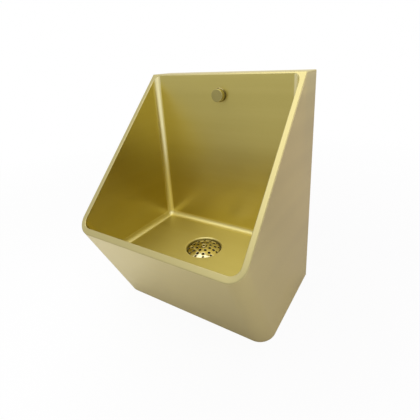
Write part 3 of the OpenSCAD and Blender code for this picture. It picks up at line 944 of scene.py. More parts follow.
@dataclass
class Rim:
    """The flat rim round the opening, rounded into the casing outside and the bowl inside."""

    view: SideView
    columns: Columns
    outer_radius: float = 30.0
    inner_radius: float = 17.0
    front_width: float = 11.5
    side_width: float = 10.0
    top_width: float = 3.6
    outer_bend: float = 1.8
    inner_bend: float = 1.2
    fold: float = 2.0
    back_bend: float = 12.0
    skirt: float = 2.3
    groove: float = 0.6
    groove_side: float = 0.36
    loop_start: int = 4
    seam_rear: tuple[float, float] = (12.0, 10.0)
    held: float = 0.006

    @property
    def side_count(self) -> int:
        """Columns along a side, without its ends."""
        return self.columns.side + 1

    def outer_section(self) -> tuple[Array, Array, Array]:
        """The casing's half section square to the apron."""
        return front_section(self.view.width / 2, 0.0, self.outer_radius, self.columns)

    def inner_section(self) -> tuple[Array, Array, Array]:
        """The bowl's half section square to the apron, in from it by the front band's width
        times the cosine of the angle between the rim's plane and the apron's normal."""
        near = self.front_width * math.cos(self.view.slope - self.view.lean)
        return front_section(self.view.width / 2 - self.side_width, near, self.inner_radius,
                             self.columns)

    def sides(self, start: Array, end: Array) -> Array:
        """Points along a side between two ends, without the ends."""
        f = spaced(self.columns.side, self.held)[1:-1, None]
        return start + f * (end - start)

    def joined(self, front: Array, corner: Array, top: tuple[float, float],
               normals: list[Array]) -> tuple[Array, Array]:
        """Joins the stretches of a right half, from the front's middle to the top's.

        Args:
            front: Points of the front and its corner.
            corner: Points of the rear corner.
            top: Where the top's edge lies, as y and z.
            normals: Normals of the front, the side, the rear corner and the top.

        Returns:
            The points and their normals.
        """
        x = corner[-1, 0]
        across = x * np.append([1 - 1 / x], np.linspace(1, 0, self.columns.back + 1)[1:])
        stretches = [front, self.sides(front[-1], corner[0]), corner,
                     np.column_stack([across, np.tile(top, (len(across), 1))])]
        faces = [np.broadcast_to(n, s.shape) for n, s in zip(normals, stretches)]
        return np.concatenate(stretches), np.concatenate(faces)

    def outside(self) -> tuple[Array, Array]:
        """Right half of the rim's outer edge, and the casing's normals there."""
        v = self.view
        x, depth, a = self.outer_section()
        front = v.on_plane(x, depth, v.lip, v.rim_normal)
        normal = np.sin(a)[:, None] * RIGHT - np.cos(a)[:, None] * v.inward
        b = quarter(self.columns.back_corner)
        z = v.height - self.fold + self.fold * np.sin(b)
        corner = np.stack([v.width / 2 - self.fold + self.fold * np.cos(b), v.rim_y(z), z], -1)
        turned_up = np.stack([np.cos(b), 0 * b, np.sin(b)], -1)
        return self.joined(front, corner, (v.top_y, v.height), [normal, RIGHT, turned_up, UP])

    def inside(self) -> tuple[Array, Array]:
        """Right half of the rim's inner edge, and the bowl walls' normals there."""
        v, turn = self.view, self.back_bend
        half, back_y = v.width / 2 - self.side_width, v.top_y - self.top_width * math.cos(v.slope)
        x, depth, a = self.inner_section()
        front = v.on_plane(x, depth, v.lip, v.rim_normal)
        normal = -np.sin(a)[:, None] * RIGHT + np.cos(a)[:, None] * v.inward
        b = quarter(self.columns.back_corner)
        level = np.array([half, back_y]) - turn + turn * compass(b)[:, :2]
        corner = np.column_stack([level, v.rim_z(level[:, 1])])
        return self.joined(front, corner, (back_y, v.rim_z(back_y)),
                           [normal, -RIGHT, -compass(b), -BACK])

    def seam(self) -> Array:
        """Right half of the seam below the rim's outer bend: straight down each wall, turned
        rearward near the top so that it runs on along the top's fold."""
        edge, normal = self.outside()
        below, over = self.seam_rear
        rear = np.clip((edge[:, 2:] - self.view.height + below) / over, 0, 1)
        down = away(normal, self.view.rim_normal)
        return edge + self.skirt * unit((1 - rear) * down + rear * BACK)

    def loop(self, half: Array) -> Array:
        """A closed row from its right half, starting and ending a few columns into the left
        rear corner."""
        whole = np.concatenate([half[:-1], mirrored(half)[:-1]])
        first = len(half) + self.columns.back + self.loop_start
        return np.concatenate([whole[first:], whole[:first + 1]])

    def into_bowl(self) -> tuple[Array, Array]:
        """Rows of the bend from the flat down into the bowl, and its walls' normals."""
        inner, wall = [self.loop(a) for a in self.inside()]
        return bend(inner, self.view.rim_normal, wall, self.inner_bend, 8), wall

    def build(self, finishes: Finishes) -> None:
        """Rows run out of the welded seam's groove, over the outer bend, across the flat and
        down into the bowl.

        Args:
            finishes: The finishes.
        """
        outer, casing = [self.loop(a) for a in self.outside()]
        seam, into = self.loop(self.seam()), self.into_bowl()[0]
        over = bend(outer, casing, self.view.rim_normal, self.outer_bend, 5)
        start = seam + self.groove_side * unit(over[0] - seam)
        rows = np.concatenate([(seam - self.groove * casing)[None], start[None], over[:-1],
                               ruled(over[-1], into[0], 0.6)[:-1], into])
        half = self.view.width / 2
        rows[..., 0] = np.clip(rows[..., 0], -half, half)
        piece = make_mesh("rim_band", [patch(rows, Grain.ALONG)], self.view.sheet)
        self.draw_in(piece.data.vertices)
        finishes.dress(piece, finishes.rim, "rim_frame")

    def draw_in(self, vertices: bpy.types.MeshVertices, past: float = 0.05,
                into: float = 0.5) -> None:
        """Draws the few vertices that the thickness flung past the casing's sides back in.

        Args:
            vertices: The mesh's vertices, in metres.
            past: How far past a side a vertex may lie.
            into: How far inside the side the flung ones are put.
        """
        half = self.view.width / 2
        points = np.empty(3 * len(vertices), np.float32)
        vertices.foreach_get("co", points)
        points = points.reshape(-1, 3)
        flung = np.abs(points[:, 0]) > (half + past) * MM
        points[flung, 0] = np.sign(points[flung, 0]) * (half - into) * MM
        vertices.foreach_set("co", points.ravel())


@dataclass
class Casing:
    """The folded outside: sides, apron, base and back flanges, and the flat top."""

    view: SideView
    rim: Rim
    returned: float = 18.0
    base_fold: float = 2.0
    back_fold: float = 2.0
    flange: float = 18.0
    hole_radius: float = 3.5
    hole_height: float = 60.0
    window: float = 12.0
    window_in: float = 3.0
    top_flange: float = 16.5
    rear_fold: float = 1.7
    narrow: float = 0.3
    slit: float = 0.6
    flange_foot: float = 0.4
    flange_groove: float = 0.05

    def side_columns(self) -> tuple[Array, Array, Array]:
        """Right half of the casing from the front's middle to the back flange's edge, with
        narrow columns beside each fold.

        Returns:
            The points where its walls meet the base, their upper ends, and their normals.
        """
        v, r = self.view, self.rim
        half, fold, rear = v.width / 2, self.back_fold, v.wall_y - self.back_fold
        x, depth, _ = r.outer_section()
        front = v.on_plane(x, depth, np.zeros(3), UP)
        shared = len(front) + r.side_count + 1
        head, normal = r.seam()[:shared], r.outside()[1][:shared]
        corner = head[-1] * [1, 1, 0]
        foot = np.concatenate([front, r.sides(front[-1], corner), [corner]])
        y = np.append(np.linspace(head[-1, 1], rear, 7)[1:-1],
                      [rear - 1.0, rear - self.narrow])
        out = compass(quarter(6))
        edge = half - self.window_in
        x = np.array([half - fold - 2 * self.narrow, edge, edge - self.window,
                      half - self.flange])
        level = np.concatenate([np.stack([0 * y + half, y], -1),
                                [half - fold, rear] + fold * out[:, :2],
                                np.stack([x, 0 * x + v.wall_y], -1)])
        normals = [normal, np.tile(RIGHT, (len(y), 1)), out, np.tile(BACK, (len(x), 1))]
        rows = [np.concatenate([row, np.column_stack([level, np.full(len(level), z)])])
                for row, z in ((foot, 0.0), (head, head[-1, 2]))]
        return *rows, np.concatenate(normals)

    def whole(self, half: Array) -> Array:
        """An open row from the left flange round the front to the right flange."""
        return np.concatenate([mirrored(half)[:-1], half])

    def build(self, finishes: Finishes) -> None:
        """Builds the wrap of sides and apron, and the top."""
        finishes.dress(self.wrap(), finishes.sheet, "outer_shell")
        finishes.dress(self.cover(), finishes.sheet, "top_panel")

    def wrap(self) -> bpy.types.Object:
        """Rows run out along the base's return, round its fold, and up to the rim's seam. On
        each back flange the fold is tighter, the seam shallower, and one window of the grid
        is left out and filled with a punched hole."""
        foot, head, normal = [self.whole(a) for a in self.side_columns()]
        flanges = (foot[:, 1:2] > self.view.wall_y - self.back_fold - self.narrow / 2)
        fold = bend(foot, -UP, normal, np.where(flanges, self.flange_foot, self.base_fold), 6)
        reach = np.where(flanges, 0.0, self.returned - self.base_fold)
        inner = fold[0] + reach * away(-UP, normal)
        low, rise = fold[-1], head - fold[-1]
        window = self.hole_height + self.window / 2 * np.array([-1, 1])
        at = (window[:, None, None] - low[None, :, 2:]) / rise[None, :, 2:]
        near = head - self.rim.groove_side * unit(rise)
        bottom = head - np.where(flanges, self.flange_groove, self.rim.groove) * normal
        wall = ruled(low, head, 1.0, 1)
        wall = np.concatenate([wall[:2], low + at * rise, wall[-2:-1], near[None],
                               bottom[None]])
        base = np.concatenate([ruled(inner, fold[0], 0.8)[:-1], fold])
        body = patch(wall, Grain.LEVEL)
        body.keep = np.ones((len(wall) - 1, len(foot) - 1), bool)
        body.keep[2, [1, -2]] = False
        holes = [punched(wall[[2, 2, 3, 3], [i, i + 1, i + 1, i]], self.hole_radius)
                 for i in (1, len(foot) - 3)]
        return make_mesh("casing_wrap", [patch(base, Grain.ALONG), body, *holes],
                         self.view.sheet)

    def cover(self) -> bpy.types.Object:
        """Rows run up the back flange, over the rear fold, and forward to the rim's seam. The
        columns are the rim's, and two more at each end of the flange."""
        v, r = self.view, self.rim
        start = -(r.columns.back_corner + 1 + r.columns.back + 1)
        seam, normal = r.seam()[start:], r.outside()[1][start:]
        end = v.width / 2 - self.flange - self.slit
        ends = np.array([end + self.narrow, end, -end, -end - self.narrow])[:, None]
        front = np.concatenate([seam, mirrored(seam)[1:], seam[-1] * [0, 1, 1] + ends * RIGHT])
        normal = np.concatenate([normal, mirrored(normal)[1:], np.tile(UP, (len(ends), 1))])
        order = np.argsort(-front[:, 0], kind="stable")
        front, normal = front[order], normal[order]
        rear = front * [1, 0, 1] + [0, v.wall_y, 0]
        fold = bend(rear, BACK, normal, self.rear_fold, 5)
        inner = np.abs(front[:, :1]) < end + self.narrow / 2
        drop = fold[0] - UP * np.where(inner, self.top_flange - self.rear_fold, self.narrow)
        near = front + r.groove_side * BACK
        rows = np.concatenate([ruled(drop, fold[0], 0.5)[:-1], fold[:-1],
                               ruled(fold[-1], near, 1.0, 2),
                               (front - r.groove * normal)[None]])
        return make_mesh("casing_top", [patch(rows, Grain.ACROSS)], v.sheet)


@dataclass
class Bowl:
    """The bowl, its drain recess and the sound pads under its floor."""

    view: SideView
    rim: Rim
    floor: float = 116.0
    bend: float = 11.0
    drain_y: float = 1.984
    recess_radius: float = 36.4
    recess_depth: float = 12.5
    recess_lip: float = 2.5
    recess_foot: float = 2.0
    tail_hole: float = 24.5
    pad: Triple = (90.0, 120.0, 3.0)
    pad_x: float = 100.0

    def at(self, z: float) -> Triple:
        """A point on the drain's axis."""
        return (0.0, self.drain_y, z)

    def feet(self) -> Array:
        """Right half of the line where the bowl's walls would meet its floor."""
        r, floor = self.rim, UP * self.floor
        x, depth, _ = r.inner_section()
        front = self.view.on_plane(x, depth, floor, UP)
        rest = r.inside()[0][len(front) + r.side_count:] * [1, 1, 0] + floor
        return np.concatenate([front, r.sides(front[-1], rest[0]), rest])

    def build(self, finishes: Finishes) -> None:
        """Builds the bowl and its pads."""
        finishes.dress(self.pan(), finishes.bowl, "bowl")
        finishes.dress(self.pads(), finishes.bitumen, "sound_pads")

    def pan(self) -> bpy.types.Object:
        """Rows run down the walls, round the bend, in over the floor, over the drain's lip,
        down the recess and in to the tail's hole. Round the bend the grain runs on by the
        bend's own length, since its height hardly changes there."""
        foot = self.rim.loop(self.feet())
        into, wall = self.rim.into_bowl()
        low = bend(foot, wall, UP, self.bend, 10, convex=False)
        radial = compass(np.arctan2(foot[:, 1] - self.drain_y, foot[:, 0]))
        centre = np.array(self.at(self.floor))
        sunk = centre - UP * self.recess_depth
        mouth = bend(centre + self.recess_radius * radial, UP, -radial, self.recess_lip, 6)
        bottom = bend(sunk + self.recess_radius * radial, -radial, UP, self.recess_foot, 5,
                      convex=False)
        hole = sunk + self.tail_hole * radial
        walls = patch(np.concatenate([ruled(into[-1], low[0], 1.0, 3)[:-1], low]),
                      Grain.LEVEL)
        arc = self.bend * 1.57
        walls.grain[-len(low):, :, 0] = (walls.grain[-len(low), :, 0]
                                         - np.linspace(0, arc, len(low))[:, None])
        floor = patch(ruled(low[-1], mouth[0], 1.0, 2), Grain.ACROSS)
        sink = np.concatenate([mouth, ruled(mouth[-1], bottom[0], 0.5)[1:-1], bottom,
                               ruled(bottom[-1], hole, 0.5)[1:]])
        return make_mesh("bowl_pan", [walls, floor, patch(sink, Grain.ALONG)],
                         self.view.sheet)

    def pads(self) -> bpy.types.Object:
        """Two soft-edged pads: a rounded oblong drawn in by each inset at its height, and
        closed at its middle."""
        width, depth, thick = self.pad
        rows = [(None, 0.0), (0.6, 0.0), (0.15, 0.15), (0.0, 0.6), (0.0, thick - 0.6),
                (0.15, thick - 0.15), (0.6, thick), (None, thick)]

        def outline(inset: float | None) -> Array:
            """The oblong drawn in by an inset, or its middle."""
            x, y = width / 2 - (inset or 0), depth / 2 - (inset or 0)
            loop = rounded([(x, -y, 5), (x, y, 5), (-x, y, 5), (-x, -y, 5)], 6)
            return 0 * loop if inset is None else loop

        shape = np.stack([np.column_stack([outline(i), np.full(len(outline(i)), z)])
                          for i, z in rows])
        base = np.array([self.pad_x, self.drain_y, self.floor - self.view.sheet - thick])
        return make_mesh("sound_pads_pair", [patch(shape + base * [s, 1, 1], Grain.ACROSS)
                                             for s in (-1, 1)])


@dataclass
class Waste:
    """The waste fitting clamped through the recess, with its seals."""

    bowl: Bowl
    flange_radius: float = 35.5
    tail_radius: float = 23.9
    bore: float = 21.0
    seat_radius: float = 22.9
    seat_depth: float = 1.5
    flange: float = 2.0
    gasket: float = 1.5
    tail_end: float = 81.5
    under_radius: float = 33.0
    under_low: float = 99.0
    under_thick: float = 3.0
    slip_low: float = 97.5
    slip_thick: float = 1.5

    def build(self, finishes: Finishes) -> None:
        """Builds the fitting, its gasket, the seal under the recess and the slip washer.

        Args:
            finishes: The finishes.
        """
        at, f = self.bowl.at, finishes
        low = self.bowl.floor - self.bowl.recess_depth + self.gasket
        top = low + self.flange
        edge, bore, seat, tail = self.flange_radius, self.bore, self.seat_radius, self.tail_end
        floor = top - self.seat_depth
        thread = threaded(self.tail_radius, 0.7, 2.3, tail, low - 1.0)
        rest = [(self.tail_radius, low), (edge - 0.4, low), (edge, low + 0.4),
                (edge, top - 0.6), (edge - 0.2, top - 0.2), (edge - 0.6, top),
                (seat + 0.3, top), (seat, top - 0.3), (seat, floor), (bore + 0.2, floor),
                (bore, floor - 0.2), (bore, tail + 0.5), (bore + 0.5, tail)]
        body = turned([[(bore + 0.5, tail), (self.tail_radius - 0.8, tail)], thread, rest],
                      at(0))
        f.piece("waste_fitting", body, f.button, "waste_body")
        under, clear, gap = self.under_radius, self.tail_radius + CLEAR, 0.9
        f.piece("flange_gasket", ring(self.bowl.tail_hole, edge - gap, self.gasket,
                                      at(low - self.gasket)), f.rubber, "waste_gasket")
        f.piece("recess_seal", ring(clear, under, self.under_thick, at(self.under_low)),
                f.rubber, "under_seal")
        f.piece("slip_ring", ring(clear, under, self.slip_thick, at(self.slip_low)),
                f.plastic, "slip_washer")


@dataclass
class Strainer:
    """The domed strainer in the recess, its screw and washer."""

    bowl: Bowl
    low: float = 107.0
    top: float = 119.0
    curve: float = 88.0
    radius: float = 34.5
    sheet: float = 1.2
    rings: tuple[tuple[float, int, float], ...] = ((14.5, 8, 2.9), (24.2, 12, 2.9),
                                                   (31.7, 12, 2.4))
    cup_radius: float = 6.3
    cup_floor: float = 116.0
    cup_lip: float = 1.0
    shoulder: float = 1.6
    hole_lip: float = 0.2
    head_radius: float = 5.4
    head_height: float = 2.6
    head_low: float = 117.0
    shank: float = 2.95
    shank_length: float = 19.0
    socket: float = 5.0
    washer: float = 0.98
    inset: float = 0.02

    def holes(self) -> tuple[Array, Array]:
        """Middles of the holes in plan, at even angles round each ring, and their radii."""
        c = np.concatenate([r * np.exp(2j * np.pi * np.arange(n) / n)
                            for r, n, _ in self.rings])
        radii = np.concatenate([np.full(n, size) for _, n, size in self.rings])
        return np.stack([c.real, c.imag], -1), radii

    def clear_of_holes(self, plan: Array) -> Array:
        """Distance of each plan point outside the nearest hole's edge."""
        centres, radii = self.holes()
        return (np.linalg.norm(plan[:, None] - centres[None], axis=-1) - radii).min(1)

    def lift(self, plan: Array) -> Array:
        """Height of the dome's outside over a plan point.

        A sphere of the curve's radius, less a quarter round of the shoulder's radius at the
        rim, of the hole's lip round each hole, and of the cup's lip round the cup. A quarter
        round of radius q at a distance d inside its edge takes off q - sqrt(q^2 - (q - d)^2).

        Args:
            plan: Points in plan, from the dome's middle.

        Returns:
            Their heights.
        """
        r = np.linalg.norm(plan, axis=-1)
        z = self.top - self.curve + np.sqrt(self.curve ** 2 - r ** 2)

        def round_off(d: Array, q: float) -> Array:
            """What a quarter round takes off at a distance from its edge."""
            inside = np.clip(q - d, 0, q)
            return q - np.sqrt(np.maximum(q * q - inside ** 2, 0))

        gap = self.clear_of_holes(plan)
        return (z - round_off(self.radius - r, self.shoulder) - round_off(gap, self.hole_lip)
                - round_off(r - self.cup_radius, self.cup_lip))

    def scatter(self) -> tuple[list[Array], Array]:
        """Points of the dome in plan.

        Returns:
            Closed loops at the holes' edges, the cup's and the dome's, and the points between
            them: rings where each edge rounds, and a field of points about a millimetre apart
            that keeps clear of the rings.
        """
        def circle(r: float, n: int, centre: Array = np.zeros(2)) -> Array:
            """Even points on a circle."""
            return centre + r * compass(2 * np.pi * np.arange(n) / n)[:, :2]

        holes = list(zip(*self.holes()))
        edge, cup = self.radius - self.inset, self.cup_radius
        small, middling, large = 24, 48, 144
        close, pitch, reach = 0.03, 1.1, 36.0
        loops = [*(circle(size, small, c) for c, size in holes), circle(cup, middling),
                 circle(edge, large)]
        soft = [circle(size + self.hole_lip * f, small, c) for c, size in holes
                for f in (0.12, 0.4, 0.8)]
        soft += [circle(edge - self.shoulder * f, large) for f in (0.06, 0.2, 0.42, 0.7, 1.0)]
        soft += [circle(cup + self.cup_lip * f, middling) for f in (0.1, 0.35, 0.7, 1.1)]
        across = np.arange(-reach, reach + 0.1, pitch)
        spread = np.stack(np.meshgrid(across, across), -1).reshape(-1, 2)
        extra = np.concatenate([*soft, spread])
        grid = np.arange(len(extra)) >= len(extra) - len(spread)
        r = np.linalg.norm(extra, axis=-1)
        return loops, extra[(self.clear_of_holes(extra) > np.where(grid, 0.75, close))
                            & (r < edge - np.where(grid, self.shoulder + 0.4, close))
                            & (r > cup + np.where(grid, self.cup_lip + 0.5, close))]

    def plate(self) -> tuple[Array, Array]:
        """The dome in plan, as points and triangles between the cup, the holes and the edge:
        a constrained Delaunay triangulation, less what falls in a hole or the cup."""
        loops, extra = self.scatter()
        start, edges = 0, []
        for loop in loops:
            n = np.arange(len(loop))
            edges.append(np.stack([start + n, start + (n + 1) % len(loop)], -1))
            start += len(loop)
        result = delaunay_2d_cdt([Vector(p) for p in np.concatenate([*loops, extra])],
                                 np.concatenate(edges).tolist(), [], 0, 1e-5)
        plan = np.array([tuple(p) for p in result[0]])
        faces = np.array([f for f in result[2] if len(f) == 3])
        middle = plan[faces].mean(1)
        r = np.linalg.norm(middle, axis=-1)
        faces = faces[(self.clear_of_holes(middle) > 0) & (r > self.cup_radius)
                      & (r < self.radius - self.inset)]
        a, b, c = plan[faces].transpose(1, 0, 2)
        turn = (b - a)[:, 0] * (c - a)[:, 1] - (b - a)[:, 1] * (c - a)[:, 0]
        faces[turn < 0] = faces[turn < 0][:, ::-1]
        return plan, faces

    def dome(self) -> bpy.types.Object:
        """The plate lifted onto the dome."""
        plan, faces = self.plate()
        used, faces = np.unique(faces, return_inverse=True)
        plan = plan[used]
        points = np.column_stack([plan, self.lift(plan)]) + [0, self.bowl.drain_y, 0]
        return finish_mesh("strainer_plate", points, faces.reshape(-1, 3), points[:, :2],
                           self.sheet, 50.0)

    def wall(self) -> bpy.types.Object:
        """The upright edge below the dome and the cup with its floor, each a thin turning."""
        t, r, c, axis = self.sheet, self.radius, self.cup_radius, self.bowl.at(0)
        edge = self.top - self.curve + math.sqrt(self.curve ** 2 - r ** 2) - self.shoulder
        skirt = lathe([(r - t, self.low, 0.2), (r, self.low, 0.4), (r, edge + 0.25, 0.02),
                       (r - t, edge + 0.25, 0.02)], axis, around=144)
        lip = self.top - self.cup_lip - c * c / 2 / self.curve + 0.05
        hole, floor, thick = self.shank + 0.3, self.cup_floor, 0.9
        cup = lathe([(hole, floor - t, 0.2), (c + thick, floor - t, 0.9),
                     (c + thick, lip - 0.6, 0.2), (c, lip, 0.1), (c, floor, 0.7),
                     (hole, floor, 0.2)], axis, around=72)
        return make_mesh("strainer_skirt", [skirt, cup], crease=50.0)

    def screw(self) -> bpy.types.Object:
        """Head with a hexagon socket, its top edge rounded, over a threaded shank."""
        h, r, shank, end = self.head_height, self.head_radius, self.shank, -self.shank_length
        thread = threaded(shank, 0.45, 1.0, end, -1.5, FACETS)
        flats, deep = hexagon(self.socket), h / 3
        head = [(shank, -0.05), (shank + 0.02, 0.0), (r - 0.3, 0.0), (r, 0.3), (r, h - 1.2),
                (r - 0.09, h - 0.78), (r - 0.35, h - 0.35), (r - 0.78, h - 0.09), (r - 1.2, h),
                (flats + 0.25, h), (flats, h - 0.25), (flats * 0.98, deep), (0.01, deep - 0.2),
                (0.0, deep - 0.2)]
        shape = turned([[(0.0, end), (shank - 0.6, end)], thread, head],
                       self.bowl.at(self.head_low), around=FACETS)
        return make_mesh("strainer_bolt", [shape], crease=40.0)

    def build(self, finishes: Finishes) -> None:
        """Builds the dome, its skirt and cup, the washer and the screw.

        Args:
            finishes: The finishes.
        """
        f = finishes
        f.dress(self.dome(), f.bright, "strainer_dome")
        f.dress(self.wall(), f.bright, "strainer_dome")
        inner, outer, thick = self.shank + CLEAR, self.head_radius + 0.3, self.washer
        f.piece("bolt_washer", lathe([(inner, 0, 0.15), (outer, 0, 0.25), (outer, thick, 0.25),
                                      (inner, thick, 0.15)], self.bowl.at(self.cup_floor)),
                f.steel, "strainer_washer")
        f.dress(self.screw(), f.bright, "strainer_screw")


@dataclass
class Spreader:
    """The flush fitting: spreader, shank and nuts, and the inlet tail behind them."""

    bowl: Bowl
    height: float = 418.0
    back_y: float = 96.484
    radius: float = 13.0
    out: float = 13.0
    nose: float = 9.0
    bore: float = 7.0
    shank: float = 10.48
    shank_end: float = 123.984
    inlet_end: float = 158.0
    thread: float = 16.0
    hole: float = 0.9
    holes: int = 7
    hole_from_face: float = 3.5
    hole_depth: float = 1.8
    hole_edge: float = 0.25
    nut_flats: float = 30.0
    nut_long: float = 7.0
    washer: float = 15.0
    union_flats: float = 27.0
    overlap: float = 10.0

    def at(self, y: float) -> Triple:
        """A point on the fitting's axis."""
        return (0.0, y, self.height)

    def cap(self) -> Patch:
        """A round button with a softened face, hollow behind, with spray holes let into its
        lower side: the radius falls within a hole's radius of its middle."""
        depth, r, inner, edge = self.out - 3.3, self.radius, self.nose + CLEAR, 1.2
        around, spray = 360, 60
        a = np.linspace(0, 2 * np.pi, around + 1)[None]
        bow = quarter(6)
        face = [(0.0, 0.0), (r - edge - 1.0, 0.0),
                *zip(r - edge + edge * np.sin(bow), edge - edge * np.cos(bow))]
        h = np.arange(edge + 0.2, depth - 0.5, 0.25)[:, None]
        fan = np.pi / 2 + np.radians(np.linspace(-spray, spray, self.holes))
        gap = np.hypot(r * (a[..., None] - fan), h[..., None] - self.hole_from_face).min(-1)
        side = r - self.hole_depth * np.clip((self.hole - gap) / self.hole_edge, 0, 1)
        rest = [(r, depth - 0.3), (r - 0.3, depth), (inner + 0.3, depth), (inner, depth - 0.3),
                (inner, 2.3), (inner - 0.3, 2.0), (0.0, 2.0)]
        return turned([face, (side, h + 0 * a), rest], self.at(self.back_y - self.out),
                      Axis.REARWARD, around)

    def body(self) -> Patch:
        """Nose, flange and threaded shank with the bore through them."""
        low, nose, end = self.back_y - 3.0, self.back_y - self.out + 5.0, self.shank_end
        r, bore = self.radius + 1.0, self.bore
        front = [(bore + 0.3, nose), (self.nose - 0.5, nose), (self.nose, nose + 0.5),
                 (self.nose, low - 0.1), (self.nose + 0.2, low), (r - 0.5, low),
                 (r, low + 0.5), (r, low + 1.7), (r - 0.3, low + 2.0), (self.shank, low + 2.0)]
        thread = threaded(self.shank, 0.55, 1.5, self.back_y + 1.0, end - 0.2)
        rear = [(self.shank - 0.8, end), *bored(bore, end, nose)]
        return turned([front, thread, rear], self.at(0), Axis.REARWARD)

    def tail(self) -> Patch:
        """Collar, tube and threaded end of the inlet."""
        low, end, step = self.shank_end + 2.0, self.inlet_end, self.inlet_end - self.thread
        bore, tube, wide = self.bore, self.bore + 1.5, self.shank - 0.3
        front = [(bore + 0.3, low), (wide - 0.3, low), (wide, low + 0.3), (wide, low + 2.6),
                 (wide - 0.4, low + 3.0), (tube + 0.3, low + 3.0), (tube, low + 3.4),
                 (tube, step - 0.4), (tube + 0.3, step), (self.shank - 0.5, step)]
        thread = threaded(self.shank, 0.6, 1.8, step + 0.5, end - 0.3)
        rear = [(self.shank - 0.9, end), *bored(bore, end, low)]
        return turned([front, thread, rear], self.at(0), Axis.REARWARD)

    def build(self, finishes: Finishes) -> None:
        """Builds every piece of the fitting.

        Args:
            finishes: The finishes.
        """
        f, back, end, rear = finishes, self.back_y, self.shank_end, Axis.REARWARD
        grip, start = self.shank + CLEAR, end - self.overlap
        shoulder = end + 5.3 - start
        f.piece("spreader_button", self.cap(), f.button, "spreader_cap")
        f.piece("spreader_stem", self.body(), f.bright, "spreader_body")
        f.piece("stem_gasket", ring(grip, self.radius, 1.0, self.at(back - 1.0), rear, 0.4),
                f.rubber, "spreader_gasket")
        f.piece("rear_washer", ring(grip, self.washer, 1.5, self.at(back + 1.5), rear, 0.4),
                f.steel, "back_washer")
        f.piece("rear_nut", nut(self.nut_flats, bored(grip, self.nut_long), self.nut_long,
                                self.at(back + 3.0)), f.brass, "back_nut")
        f.piece("union_washer", ring(self.bore, self.shank - 0.3, 2.0, self.at(end), rear, 0.4),
                f.rubber, "inlet_seal")
        f.piece("inlet_union", union(self.union_flats, grip, shoulder, self.bore + 1.8, 3.0,
                                     self.at(start)), f.brass, "inlet_nut")
        f.piece("inlet_stub", self.tail(), f.brass, "inlet_tail")


